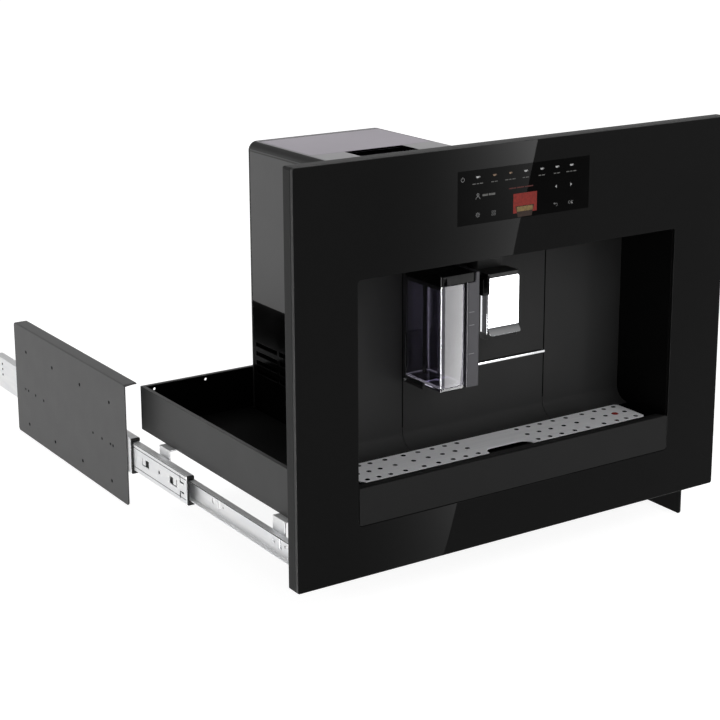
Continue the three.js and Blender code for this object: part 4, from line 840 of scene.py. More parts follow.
half_rim = (GLASS_X[1] - GLASS_X[0]) / 2
glass_middle = sum(GLASS_X) / 2
slope = (half_rim - FOOT_HALF) / (GLASS_Z[1] - GLASS_Z[0])
reach = FOOT_HALF + slope * (PICTURE_Z[0] - GLASS_Z[0]) + GAP
rim = half_rim + GAP
tumbler = [
    (glass_middle - half_rim, GLASS_Z[1]),
    (glass_middle - FOOT_HALF, GLASS_Z[0]),
    (glass_middle + FOOT_HALF, GLASS_Z[0]),
    (glass_middle + half_rim, GLASS_Z[1]),
]
tile = [
    (PICTURE_X[0], PICTURE_Z[0]),
    (glass_middle - reach, PICTURE_Z[0]),
    (glass_middle - rim, GLASS_Z[1] + GAP),
    (glass_middle + rim, GLASS_Z[1] + GAP),
    (glass_middle + reach, PICTURE_Z[0]),
    (PICTURE_X[1], PICTURE_Z[0]),
    (PICTURE_X[1], PICTURE_Z[1]),
    (PICTURE_X[0], PICTURE_Z[1]),
]


def foam(inset):
    """The foam's outline, drawn in by a hair."""
    half = FOAM_HALF - inset
    low, high = GLASS_Z[1] - 6.0 + inset, GLASS_Z[1] - 0.5 - inset
    return rounded_loop(glass_middle - half, glass_middle + half, low, high, 1.0 - inset)


mark("screen_title", label(-9.0, TITLE_Z, (4.4, 4.4, 5.2), height=1.2), lit_title)
mark("screen_picture", [tile], lit_red)
mark("screen_glass", [tumbler[::-1], foam(0)], lit_brown)
mark("screen_foam", [foam(0.1)], lit_tan)
print("picture", PICTURE_X, PICTURE_Z)

# %% [markdown]
# ## Frame, bay and drip tray
# These are plain mouldings, so a rounded copy is enough for each; to model them again would only risk a
# gap to the frame. Visible panels get the larger rounds. The bay's right wall faces away from the light,
# so its darker colour is painted shade.

# %% Frame and bay
dressed = {}
for node, finish, edge_mm in (
    ("front_frame", frame_abs, 0.5),
    ("touch_display", inner_abs, 0.3),
    ("bay_liner", bay_abs, 0.4),
    ("left_back_panel", bay_abs, 0.5),
    ("right_back_panel", bay_abs, 0.5),
    ("grounds_bin_front", bay_abs, 0.5),
    ("column_panel", bay_abs, 0.5),
    ("spout_guide", inner_abs, 0.4),
    ("milk_ledge", inner_abs, 0.6),
    ("column_trim", chrome, 0.6),
    ("drip_front", drip_abs, 0.7),
    # The drip basin takes painted shade.
    ("drip_basin", basin_shade_abs, 0.4),
    ("grounds_bin", inner_abs, 0.5),
):
    dressed[node] = ease(node, finish, edge_mm)


def on_right_wall(centre, normal):
    """The bay's right wall, which looks left."""
    return normal.x < -0.9 and centre.x > liner_high.x - 3 * MM


# Painted shade on the bay's right wall, which faces away from the light.
paint(dressed["bay_liner"], bay_shade, on_right_wall)
print("bay dressed:", len(dressed), "pieces")

# %% [markdown]
# ## Shade in the joints beside the column
# Painted shade fills the joint between the column and the panels on each side of it. Two thin upright black
# strips draw it; a groove cut into the panels would show less from the front, where the joint is seen.

# %% Shade in the joints
JOINT_SHADE = 1.3
JOINT_SHADE_FOOT = 122
column_low, column_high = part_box("column_panel")
joint_shade_top = (column_high.z - PANEL_FOOT) / MM - 1
for name, side in (("left_joint_shade", -1), ("right_joint_shade", 1)):
    x = side * ((column_high.x - column_low.x) / 2 / MM + 0.15)
    joint_shade = sheet_of(name, [rounded_loop(x - JOINT_SHADE / 2, x + JOINT_SHADE / 2, JOINT_SHADE_FOOT, joint_shade_top, 0.3)], 0.2)
    shift_mesh(joint_shade, Vector((0, column_low.y - 0.12 * MM, PANEL_FOOT)))
    # Each strip is painted shade in the joint.
    settle(joint_shade, "column_panel", shadow_black)
print("seals up to", round(joint_shade_top, 1), "mm")

# %% [markdown]
# ## The grid
# A stainless sheet, 1.2 mm thick, punched with three rows of 5.8 mm holes at uneven pitches and one larger
# hole for the float. Seen this low, the holes show little but their walls, which are painted dark as shade.
# Holes in a filled curve stay round and cost few faces, where a boolean cut would leave thin triangles.

# %% The grid's outline
grid_low, grid_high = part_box("drip_grid")
GRID_X = (grid_low.x / MM, grid_high.x / MM)
GRID_Y = ((grid_low.y - PANEL_FRONT) / MM, (grid_high.y - PANEL_FRONT) / MM)
GRID_TOP = (grid_high.z - PANEL_FOOT) / MM
GRID_SHEET = (grid_high.z - grid_low.z) / MM
PITCHES = (43.2, 17.4, 17.5, 19.7, 19.8, 24.9, 19.9, 14.8, 15.2)
ROW_PITCH = 20.3
HOLE = 5.8
FLOAT_HOLE = 8.6
FLOAT_COLUMN = 7
GRID_CORNER = 4
GRID_EDGE = 1.5 * MM
NOTCH = (32.0, 13.0)  # half its width, and its depth
NOTCH_ROUND = 12
NOTCH_TURNS = (0, 0.4, 0.8, 1.2, math.pi / 2)

columns = [sum(PITCHES[: i + 1]) for i in range(len(PITCHES))]
notch_centre = GRID_Y[0] + NOTCH[1] - NOTCH_ROUND
corner_x = (GRID_X[0] + GRID_CORNER, GRID_X[1] - GRID_CORNER)
corner_y = (GRID_Y[0] + GRID_CORNER, GRID_Y[1] - GRID_CORNER)
edge = [(corner_x[0], GRID_Y[1]), (GRID_X[0], corner_y[1]), (GRID_X[0], corner_y[0])]
edge += [(corner_x[0], GRID_Y[0]), (-NOTCH[0], GRID_Y[0])]
edge += [
    (-NOTCH[0] + NOTCH_ROUND * (1 - math.cos(a)), notch_centre + NOTCH_ROUND * math.sin(a))
    for a in NOTCH_TURNS
]
edge += [
    (NOTCH[0] - NOTCH_ROUND * (1 - math.sin(a)), notch_centre + NOTCH_ROUND * math.cos(a))
    for a in NOTCH_TURNS
]
edge += [(NOTCH[0], GRID_Y[0]), (corner_x[1], GRID_Y[0]), (GRID_X[1], corner_y[0])]
edge += [(GRID_X[1], corner_y[1]), (corner_x[1], GRID_Y[1])]
print("columns of holes on each side:", len(columns), "notch", NOTCH)

# %% [markdown]
# ## Punching the grid
# The holes are loops inside the sheet's outline. Punched walls and the space below them look black between
# bars of light, so the walls get painted shade in black, while the sheet's own edge and its notch stay
# bright.

# %% Perforated grid
middle = sum(GRID_Y) / 2
holes = []
for row in (-1, 0, 1):
    for x in [side * column for column in columns for side in (-1, 1)]:
        is_float = row == 0 and x == columns[FLOAT_COLUMN]
        radius = (FLOAT_HOLE if is_float else HOLE) / 2
        holes.append(circle_loop(x, middle + row * ROW_PITCH, radius, 20)[::-1])
grid = sheet_of("drip_grid_piece", [edge, *holes], GRID_SHEET, round_mm=0.12, upright=False)
shift_mesh(grid, place(0, 0, GRID_TOP - GRID_SHEET / 2))
settle(grid, "drip_grid", brushed)


def in_hole(centre, normal):
    """The walls of the holes, but not the sheet's outer edge or the notch."""
    inside = (
        grid_low.x + GRID_EDGE < centre.x < grid_high.x - GRID_EDGE
        and grid_low.y + GRID_EDGE < centre.y < grid_high.y - GRID_EDGE
    )
    return inside and abs(normal.z) < 0.5 and abs(centre.x) > NOTCH[0] * MM


# Painted shade: the holes' walls are black.
paint(grid, shadow_black, in_hole)
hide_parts("drip_grid")
shade(grid)
ease("level_float", float_red, 0.3, shortest_mm=1.0)
print("holes:", len(holes), "in a sheet of", round(GRID_SHEET, 2), "mm")

# %% [markdown]
# ## Milk container
# A clear jug with walls of 2 mm, rounded along its edges, is open at the top under a black lid. Beside it
# a grey housing leads the milk to the spout. Boolean cuts would leave thin triangles on the rounds, and
# clear plastic shows each of them, so the jug is lofted: rings of a rounded rectangle go up the outside,
# over the rim and down the inside.

# %% Lofts


def loft(name, rings):
    """A closed body through rings of equal point counts, capped at both ends."""
    work = bmesh.new()
    made = [[work.verts.new(point) for point in ring_points] for ring_points in rings]
    count = len(rings[0])
    for lower, upper in zip(made, made[1:]):
        for i in range(count):
            j = (i + 1) % count
            work.faces.new((lower[i], lower[j], upper[j], upper[i]))
    work.faces.new(made[0][::-1])
    work.faces.new(made[-1])
    bmesh.ops.recalc_face_normals(work, faces=work.faces)
    return built(name, work)


print("loft ready")

# %% [markdown]
# ## The jug
# Nine rings make the jug: three round its foot, two its outer rim, two its inner rim, and two its floor. Its
# rear stands on a ledge, so a lower foot in front of the ledge is a body of its own, a hair below it.

# %% Milk jug
JUG_WALL = 2.0
JUG_FLOOR = 5.0
JUG_CORNER = 6.0
LEDGE_RISE = 3.0  # the jug's rear stands on the ledge
LEDGE_FRONT = 33.0  # where the foot ends before the ledge, from the jug's front
FOOT_INSET = 1.5
FOOT_CORNER = 2.0

jug_low, jug_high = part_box("milk_jug")


def jug_plan(inset_mm, radius_mm, back=jug_high.y / MM):
    """The jug's plan in mm, drawn in from its front and sides, and from its back or another line."""
    return rounded_loop(
        jug_low.x / MM + inset_mm,
        jug_high.x / MM - inset_mm,
        jug_low.y / MM + inset_mm,
        back - inset_mm,
        radius_mm,
    )


def jug_ring(inset_mm, z, radius_mm, **line):
    """The plan as points in metres, at a height."""
    return [(x * MM, y * MM, z) for x, y in jug_plan(inset_mm, radius_mm, **line)]


jug_foot = jug_low.z + LEDGE_RISE * MM
jug_floor = jug_low.z + JUG_FLOOR * MM
rings = [
    jug_ring(1.2, jug_foot, JUG_CORNER - 1.2),
    jug_ring(0.4, jug_foot + 0.35 * MM, JUG_CORNER - 0.4),
    jug_ring(0.0, jug_foot + 1.2 * MM, JUG_CORNER),
    jug_ring(0.0, jug_high.z - 0.4 * MM, JUG_CORNER),
    jug_ring(0.4, jug_high.z, JUG_CORNER - 0.4),
    jug_ring(JUG_WALL - 0.4, jug_high.z, JUG_CORNER - JUG_WALL + 0.4),
    jug_ring(JUG_WALL, jug_high.z - 0.4 * MM, JUG_CORNER - JUG_WALL),
    jug_ring(JUG_WALL, jug_floor + 1.2 * MM, JUG_CORNER - JUG_WALL),
    jug_ring(JUG_WALL + 0.5, jug_floor, JUG_CORNER - JUG_WALL),
]
jug = loft("milk_jug_piece", rings)
settle(jug, "milk_jug", jug_san)
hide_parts("milk_jug")
shade(jug)

foot_back = jug_low.y / MM + LEDGE_FRONT + FOOT_INSET
foot_rings = [
    jug_ring(FOOT_INSET, z, FOOT_CORNER, back=foot_back) for z in (jug_low.z, jug_foot - 0.05 * MM)
]
shade(settle(loft("milk_jug_foot", foot_rings), "milk_jug", jug_san))
print("jug", [round(v / MM, 1) for v in jug_high - jug_low])

# %% [markdown]
# ## Light in the jug's edges
# Thick clear walls carry light to their corners, where the eye sees bright lines. Rays would need hundreds
# of bounces to draw them without noise, so thin glowing slivers stand inside the walls' corners and lie in
# the floor.

# %% Lines of light
GLEAM = 0.5
inner = JUG_WALL + 0.5
corner_spots = (
    (jug_high.x - (inner + 0.8) * MM, jug_high.y - (inner + 0.8) * MM),
    (jug_low.x + (inner + 1.2) * MM, jug_low.y + (inner + 0.8) * MM),
    (jug_high.x - (inner + 1.2) * MM, jug_low.y + (inner + 0.8) * MM),
)
for number, (x, y) in enumerate(corner_spots):
    low = (x - GLEAM / 2 * MM, y - GLEAM / 2 * MM, jug_floor + 1.5 * MM)
    high = (x + GLEAM / 2 * MM, y + GLEAM / 2 * MM, jug_high.z - 12 * MM)
    settle(slab(f"jug_gleam_{number}", low, high), "milk_jug", lit_gleam)
for name, rise_mm, insets in (
    ("jug_floor_gleam", JUG_FLOOR + 0.4, (2.7, 3.3)),
    ("jug_foot_gleam", LEDGE_RISE + 1.2, (0.7, 1.6)),
):
    outer_loop, inner_loop = [jug_plan(inset_mm, JUG_CORNER - inset_mm) for inset_mm in insets]
    line = sheet_of(name, [outer_loop, inner_loop[::-1]], 0.3, upright=False)
    shift_mesh(line, Vector((0, 0, jug_low.z + rise_mm * MM)))
    settle(line, "milk_jug", lit_gleam)
print("lines of light:", len(corner_spots) + 2)

# %% [markdown]
# ## Milk housing and lid
# The grey housing beside the jug holds the tube. Three printed ticks on it mark the level of milk for a
# cup, a large cup and a full jug. Print has no depth, so the ticks are films, and not cuts. The black lid
# is polished, with rounds wide enough to catch the light.

# %% Milk housing, lid and ticks
TICK = (2.4, 9.6, 0.35)  # from, to, and half its height
TICK_LEVELS = (267.5, 252.7, 220.1)

ease("milk_side_housing", strip_abs, 0.9, 3)
ease("milk_lid", lid_gloss, 0.8, 3)
strip_low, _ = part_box("milk_side_housing")
strip_left = strip_low.x / MM
tick_loops = [
    rounded_loop(strip_left + TICK[0], strip_left + TICK[1], level_mm - TICK[2], level_mm + TICK[2], 0.2)
    for level_mm in TICK_LEVELS
]
ticks = sheet_of("milk_level_ticks", tick_loops, 0.1)
shift_mesh(ticks, Vector((0, strip_low.y - 0.06 * MM, PANEL_FOOT)))
settle(ticks, "milk_side_housing", print_grey)
print("ticks:", len(tick_loops))

# %% [markdown]
# ## Spout
# A bright chrome cover bends forward at its lower lip, with rounded corners. Chrome shows every facet, and
# here each height has a depth and a width by formula, so the cover is a loft through its sections, dense
# where it bends. A Bevel modifier rounds its rim.

# %% Spout cover
spout_low, spout_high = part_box("spout_cover")
COVER_THICK = 1.6
LIP_RISE = 8.0
half_width = (spout_high.x - spout_low.x) / 2
back_plane = spout_high.y - COVER_THICK * MM


def lip_depth(z):
    """How far the lip stands forward of the face at a height."""
    run = (spout_low.z + LIP_RISE * MM - z) / (LIP_RISE * MM)
    reach = back_plane - spout_low.y
    if run <= 0:
        return 0.0
    return reach * run**1.05


def half_at(z):
    """The cover's half width, which shrinks along its four round corners."""
    corner = 3.0 * MM
    near = min(z - spout_low.z, spout_high.z - z)
    if near >= corner:
        return half_width
    return half_width - corner + math.sqrt(max(corner**2 - (corner - near) ** 2, 0))


heights = [spout_low.z + t * MM for t in (0.02, 0.3, 0.8, 1.6, 2.6, 3.6, 4.8, 6.0, 7.0, 7.7, 8.0, 8.3, 10)]
heights += [spout_high.z - t * MM for t in (4, 3, 2, 1.1, 0.5, 0.15, 0.02)]
rows = []
for z in heights:
    y = back_plane - lip_depth(z)
    reach = half_at(z)
    section = [(-reach, y), (reach, y), (reach, y + COVER_THICK * MM), (-reach, y + COVER_THICK * MM)]
    rows.append([(x, depth, z) for x, depth in section])
cover = loft("spout_cover_piece", rows)
edge_round = cover.modifiers.new("rounded edge", "BEVEL")
edge_round.width = 0.35 * MM
edge_round.segments = 2
edge_round.limit_method = "ANGLE"
edge_round.angle_limit = math.radians(60)
settle(cover, "spout_cover", chrome)
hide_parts("spout_cover")
shade(cover, math.radians(60))
print("spout cover", [round(v / MM, 1) for v in spout_high - spout_low])

# %% [markdown]
# ## Spout body and trims
# The body is black, and a chrome trim stands on each side of it. The trims' feet, below the cover's lip, are
# bare plastic: each trim's mesh is cut level there, and what lies below gets the black.

# %% Spout body and trims
FOOT_HEIGHT = 7.5  # the trims' feet are bare black below the lip

ease("spout_body", spout_abs, 0.6, 2, 2.0)
for node in ("spout_left_trim", "spout_right_trim"):
    trim = ease(node, chrome, 0.5)
    foot_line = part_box(node)[0].z + FOOT_HEIGHT * MM
    work = bmesh.new()
    work.from_mesh(trim.data)
    whole = work.verts[:] + work.edges[:] + work.faces[:]
    bmesh.ops.bisect_plane(work, geom=whole, plane_co=(0, 0, foot_line), plane_no=(0, 0, 1))
    work.to_mesh(trim.data)
    work.free()
    paint(trim, spout_abs, lambda centre, normal: centre.z < foot_line)
ease("milk_inlet", gloss_abs, 0.5, 2, 2.0)
print("spout's body, trims and inlet dressed")

# %% [markdown]
# ## Housing
# The upper cover is grey ABS with generous rounds along its top; the lid is a shade warmer. Below it the
# base is polished black. The cover's top has a painted highlight, and its rounds and the finger slot painted
# shade, picked by where a face lies and which way it looks, because one moulding takes the light in four
# ways.

# %% Housing
SLOT_HALF, SLOT_LENGTH, SLOT_DEPTH = 42.5, 39, 12
ROUND_DEPTH = 14

cover = ease("upper_cover", housing_abs, 0.6, 2)
lid = ease("top_lid", lid_abs, 0.8, 3)
lid_low, lid_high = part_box("top_lid")


def on_round(centre, normal):
    """The long rounds beside the top."""
    return 0.12 < normal.z <= 0.97 and centre.z > lid_high.z - ROUND_DEPTH * MM


def in_slot(centre, normal):
    """The finger slot in front of the lid."""
    return (
        abs(centre.x) < SLOT_HALF * MM
        and lid_low.y - SLOT_LENGTH * MM < centre.y < lid_low.y + 5 * MM
        and lid_high.z - SLOT_DEPTH * MM < centre.z < lid_high.z - 0.2 * MM
    )


# Painted highlight on the cover's top; painted shade on its rounds, in the finger slot and on the lid's front
# face.
paint(cover, housing_lit_top, lambda centre, normal: normal.z > 0.97)
paint(cover, housing_round_shade, on_round)
paint(cover, shadow_black, in_slot)
paint(lid, shadow_black, lambda centre, normal: normal.y < -0.9)
ease("brew_door", housing_abs, 0.6)
ease("base_housing", gloss_abs, 0.6)
ease("rear_cover", cover_powder, 0.4)
ease("power_inlet", inner_abs, 0.3, 1, 2.0)
print("housing dressed")

# %% [markdown]
# ## Shade behind the louvres
# Behind the base's louvres a thin black slab on each side is painted shade, so that nothing inside shows
# through the slots. Behind the base's louvres the real machine has a dark dust screen, so that nothing
# inside shows. A woven one could be modelled, but a slot's width shows none of its threads. A thin black
# slab on each side does.

# %% Shade behind the louvres
BASE_WALL = 3.0
LOUVRES_BACK = (118, 6)  # in from the base's rear
LOUVRES_UP = (46, 98)  # above its foot
base_low, base_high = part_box("base_housing")
louvre_shade_y = [base_high.y - back * MM for back in LOUVRES_BACK]
louvre_shade_z = [base_low.z + up * MM for up in LOUVRES_UP]
louvre_shade_inset = (BASE_WALL + 0.8) * MM
for side, x in (("left", base_low.x + louvre_shade_inset), ("right", base_high.x - louvre_shade_inset)):
    low = (x - 0.2 * MM, louvre_shade_y[0], louvre_shade_z[0])
    high = (x + 0.2 * MM, louvre_shade_y[1], louvre_shade_z[1])
    # Each slab is painted shade behind the louvres.
    settle(slab(f"louvre_shade_{side}", low, high), "base_housing", shadow_black)
print("dust screens ready")

# %% [markdown]
# ## Inside the housing
# With the lid or the side door open, beans, water and the brewing parts show. The tanks are smoked clear
# plastic, the grinder, boiler and pump are cast aluminium, and a zinc-plated frame carries them. They are
# seen dimly and from afar, so the rounded copies do.

# %% Inside the housing
for node, finish, rounding in (
    ("bean_hopper", hopper_san, (0.5,)),
    ("grind_knob", inner_abs, (0.5, 2, 2.0)),
    ("grinder", cast, (0.6,)),
    ("water_tank", tank_san, (0.5,)),
    ("brew_unit", inner_abs, (0.8,)),
    ("boiler", cast, (0.8,)),
    ("pump", cast, (0.6,)),
    ("inner_frame", zinc, (0.3,)),
):
    ease(node, finish, *rounding)
print("insides dressed")

# %% [markdown]
# ## Base tray
# The tray is folded from sheet and powder coated. Its inside lies in shade in the photograph's light, and a
# darker coat there draws that. The folds are in the frame's solid; the copy rounds their edges.

# %% Tray
NEAR_WALL = 3 * MM

tray = ease("base_tray", tray_powder, 0.4, 2)
tray_low, tray_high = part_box("base_tray")


def faces_inward(centre, normal):
    """The tray's floor and the inner faces of its four walls."""
    return (
        (normal.x > 0.9 and centre.x < tray_low.x + NEAR_WALL)
        or (normal.x < -0.9 and centre.x > tray_high.x - NEAR_WALL)
        or (normal.y > 0.9 and centre.y < tray_low.y + NEAR_WALL)
        or (normal.y < -0.9 and centre.y > tray_high.y - NEAR_WALL)
        or (normal.z > 0.9 and centre.z < tray_low.z + NEAR_WALL)
    )


# Painted shade on the tray's floor and the inner faces of its walls.
paint(tray, tray_inside_shade, faces_inward)
print("tray", [round(v / MM) for v in tray_high - tray_low])

# %% [markdown]
# ## Plates and slides
# The plates are folded sheet like the tray, with painted shade on the side that looks at the machine. The
# slides' rails and the brackets are zinc-plated steel, the cages black nylon, and the stops rubber.
# Cold-rolled rails have tight rounds, a quarter of a millimetre.

# %% Plates and slides
for side, outward in (("left", -1), ("right", 1)):
    plate = ease(f"{side}_cabinet_plate", plate_powder, 0.5, 2)
    # Painted shade on the side that looks at the machine.
    paint(plate, plate_inside_shade, lambda centre, normal: normal.x * outward < -0.9)
    for part, finish, rounding in (
        ("inner_rail", zinc, (0.25, 2, 3.0)),
        ("middle_rail", zinc, (0.25, 2, 3.0)),
        ("outer_rail", zinc, (0.25, 2, 3.0)),
        ("front_bracket", zinc, (0.4, 2)),
        ("rear_bracket", zinc, (0.4, 2)),
        ("inner_ball_cage", cage_nylon, (0,)),
        ("outer_ball_cage", cage_nylon, (0,)),
        ("middle_stop", rubber, (0.3, 1, 2.0)),
        ("outer_stop", rubber, (0.3, 1, 2.0)),
    ):
        ease(f"{side}_{part}", finish, *rounding)
print("slides dressed")

# %% [markdown]
# ## Hole shade and rivets
# Black discs in the plates' holes are painted shade, and black discs stand at the rivets that hold the rails.
# They are a tenth of a millimetre proud, all of one plate or rail in a single mesh: to cut the holes and fill
# them would look the same.

# %% Hole shade and rivet helpers
HOLE_SHADE_ROWS = (76, -30)  # heights above the panel's foot
HOLE_SHADE_STATIONS = (-131.5, -41.5, 48.5, 138.5)  # from the plate's middle
HOLE_SHADE_RADIUS = 2.3
RIVET_STATIONS = (40, 48, 73, 101, 262, 290, 315, 325)  # from the plate's front edge
PLATE_RIVET_RADIUS = 1.85
PLATE_SHEET = 2.0
RIVET_ROW = (14.4, 6.6, -1.6)  # above the rail's middle, near its rear end
RIVET_INSET = 28
RAIL_RIVET_RADIUS = 1.7
SLIDE_MIDDLE = PANEL_FOOT + 20 * MM


def outer_side(node, side):
    """Where the outward face of a plate or rail lies."""
    low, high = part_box(node)
    return low.x if side == "left" else high.x


def discs(name, node, spots, depth_mm):
    """Black discs that look sideways, at points in metres with radii in mm."""
    work = bmesh.new()
    for spot, radius_mm in spots:
        bmesh.ops.create_cone(
            work,
            cap_ends=True,
            segments=16,
            radius1=radius_mm * MM,
            radius2=radius_mm * MM,
            depth=depth_mm * MM,
            matrix=Matrix.Translation(spot) @ Matrix.Rotation(math.pi / 2, 4, "Y"),
        )
    settle(built(name, work), node, shadow_black)


def hole_shade_and_rivets(side, outward):
    """The discs of one side's plate and outer rail."""
    plate = f"{side}_cabinet_plate"
    plate_low, plate_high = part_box(plate)
    plate_middle = (plate_low.y + plate_high.y) / 2
    x = outer_side(plate, side) - outward * PLATE_SHEET / 2 * MM
    spots = [
        (Vector((x, plate_middle + station * MM, PANEL_FOOT + row * MM)), HOLE_SHADE_RADIUS)
        for row in HOLE_SHADE_ROWS
        for station in HOLE_SHADE_STATIONS
    ]
    spots += [
        (Vector((x, plate_low.y + station * MM, SLIDE_MIDDLE)), PLATE_RIVET_RADIUS)
        for station in RIVET_STATIONS
    ]
    # Painted shade in the plate's holes.
    discs(f"{side}_plate_hole_shade", plate, spots, 0.8)
    rail = f"{side}_outer_rail"
    x = outer_side(rail, side) + outward * 0.1 * MM
    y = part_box(rail)[1].y - RIVET_INSET * MM
    spots = [(Vector((x, y, SLIDE_MIDDLE + rise * MM)), RAIL_RIVET_RADIUS) for rise in RIVET_ROW]
    discs(f"{side}_rail_rivets", rail, spots, 0.16)


print("cap and rivet helpers ready")

# %% [markdown]
# ## Shade in the grooves
# Painted shade lies in the rolled groove along each rail, and on the upper lip of each rail. To cut the
# grooves would take booleans along thin pressed sheet. At this size the eye can't tell a dark film from a
# groove's shade, so each is a slab a tenth of a millimetre thick.

# %% Hole shade, rivets and groove shade
GROOVE_SHADES = {  # height from the rail's middle, width, and the colour of its painted shade
    "middle_rail": ((17.3, 0.9, shadow_black), (12.6, 0.8, rail_groove_shade), (-12.6, 0.8, rail_groove_shade)),
    "inner_rail": ((12.0, 1.0, shadow_black),),
}

for side, outward in (("left", -1), ("right", 1)):
    hole_shade_and_rivets(side, outward)
    for part, lines in GROOVE_SHADES.items():
        rail = f"{side}_{part}"
        rail_low, rail_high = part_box(rail)
        x = outer_side(rail, side)
        near, far = sorted((x + outward * 0.02 * MM, x + outward * 0.12 * MM))
        for number, (rise, width, finish) in enumerate(lines):
            z = SLIDE_MIDDLE + rise * MM
            low = (near, rail_low.y + 2 * MM, z - width / 2 * MM)
            high = (far, rail_high.y - 2 * MM, z + width / 2 * MM)
            # Each slab is painted shade along the rail.
            settle(slab(f"{rail}_line_{number}", low, high), rail, finish)
print("caps, rivets and grooves ready")

# %% [markdown]
# ## Balls
# Bright steel balls run in the cages, one row above and one below each member. They are 3.2 mm across and
# stand 24 mm apart. The frame's balls have few facets, so finer spheres cover them; all of one cage are a
# single mesh, because they roll together.

# %% Steel balls
BALL = 3.2
BALL_PITCH = 24
BALL_ROWS = {"inner": (7.4, 14.9), "outer": (6.4, 20.0)}  # in from the outer rail, off the centre line

for side, inward in (("left", 1), ("right", -1)):
    rail_low, rail_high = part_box(f"{side}_outer_rail")
    rail_face = outer_side(f"{side}_outer_rail", side)
    rail_middle = (rail_low.z + rail_high.z) / 2
    for row, (inset, off) in BALL_ROWS.items():
        node = f"{side}_{row}_ball_cage"
        cage_low, cage_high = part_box(node)
        count = int(((cage_high.y - cage_low.y) / MM - 10) // BALL_PITCH) + 1
        work = bmesh.new()
        for number in range(count):
            y = (cage_low.y + cage_high.y) / 2 + (number - (count - 1) / 2) * BALL_PITCH * MM
            for rise in (-off, off):
                spot = Vector((rail_face + inward * inset * MM, y, rail_middle + rise * MM))
                bmesh.ops.create_uvsphere(
                    work,
                    u_segments=16,
                    v_segments=10,
                    radius=BALL / 2 * MM,
                    matrix=Matrix.Translation(spot),
                )
        row_of_balls = settle(built(f"{side}_{row}_balls", work), node, balls)
        row_of_balls.data.shade_smooth()
        print(node, 2 * count, "balls")

# %% [markdown]
# ## World
# The picture's ground is white. A white world would also flood the machine with light and turn its blacks
# grey. So the world is white to the camera and through clear plastic, banded like a studio to reflections,
# and a dim grey to the light that falls on surfaces.

# %% World
FILL = 0.16
MIRRORED = (  # how high above the horizon, as a sine, and how bright reflections find the room there
    (-1.0, 0.8),
    (-0.3, 1.0),
    (0.27, 1.0),
    (0.36, 0.03),
    (0.6, 0.03),
    (0.72, 0.45),
    (1.0, 0.5),
)

world = bpy.data.worlds.new("studio")
bpy.context.scene.world = world
world.use_nodes = True
tree = world.node_tree
tree.nodes.clear()
path = add(tree, "ShaderNodeLightPath")
where = add(tree, "ShaderNodeTexCoord")
height = add(tree, "ShaderNodeSeparateXYZ", links={0: where.outputs["Generated"]})
share = add(tree, "ShaderNodeMapRange", {"From Min": -1.0, "From Max": 1.0}, {"Value": height.outputs["Z"]})
room = add(tree, "ShaderNodeValToRGB", links={"Fac": share.outputs["Result"]})
stops = room.color_ramp.elements
while len(stops) < len(MIRRORED):
    stops.new(0.5)
for stop, (sine, _) in zip(stops, MIRRORED):
    stop.position = (sine + 1) / 2
for stop, (_, strength) in zip(stops, MIRRORED):
    stop.color = (strength, strength, strength, 1)
fill = add(tree, "ShaderNodeBackground", {"Color": (1, 1, 1, 1), "Strength": FILL})
mirrored = add(tree, "ShaderNodeBackground", {"Strength": 1.0}, {"Color": room.outputs["Color"]})
white = add(tree, "ShaderNodeBackground", {"Color": (1, 1, 1, 1), "Strength": 1.0})
lit_or_mirrored = add(
    tree,
    "ShaderNodeMixShader",
    links={0: path.outputs["Is Glossy Ray"], 1: fill.outputs[0], 2: mirrored.outputs[0]},
)
seen = add(
    tree,
    "ShaderNodeMath",
    {"operation": "MAXIMUM"},
    {0: path.outputs["Is Camera Ray"], 1: path.outputs["Is Transmission Ray"]},
)
chosen = add(
    tree,
    "ShaderNodeMixShader",
    links={0: seen.outputs[0], 1: lit_or_mirrored.outputs[0], 2: white.outputs[0]},
)
add(tree, "ShaderNodeOutputWorld", links={"Surface": chosen.outputs[0]})
print("world fill", FILL)

# %% [markdown]
# ## Floor
# Real studios light the sweep below a product until it turns white. Here a part of what the camera sees of
# the floor shines by itself, a little more farther out, and the rest is matt paint that takes the shadow.

# %% Floor
FLOOR_SIZE = 80.0
FLOOR_GLOW = 0.6  # share of the picture's floor that shines by itself, so that it turns white
GLOW_NEAR, GLOW_FAR = 1.5, 1.7
GLOW_REACH = (0.8, 2.6)

floor_material, tree = blank("pale_floor")
path = add(tree, "ShaderNodeLightPath")
matt = add(tree, "ShaderNodeBsdfDiffuse", {"Color": linear("#f4f4f4")})
where = add(tree, "ShaderNodeTexCoord")
away = add(tree, "ShaderNodeVectorMath", {"operation": "LENGTH"}, {0: where.outputs["Object"]})
strength = add(
    tree,
    "ShaderNodeMapRange",
    {
        "From Min": GLOW_REACH[0],
        "From Max": GLOW_REACH[1],
        "To Min": GLOW_NEAR,
        "To Max": GLOW_FAR,
        "interpolation_type": "SMOOTHSTEP",
    },
    {"Value": away.outputs["Value"]},
)
glow = add(tree, "ShaderNodeEmission", {"Color": (1, 1, 1, 1)}, {"Strength": strength.outputs["Result"]})
share = add(
    tree, "ShaderNodeMath", {"operation": "MULTIPLY", 1: FLOOR_GLOW}, {0: path.outputs["Is Camera Ray"]}
)
mixed = add(
    tree,
    "ShaderNodeMixShader",
    links={0: share.outputs[0], 1: matt.outputs[0], 2: glow.outputs[0]},
)
add(tree, "ShaderNodeOutputMaterial", links={"Surface": mixed.outputs[0]})

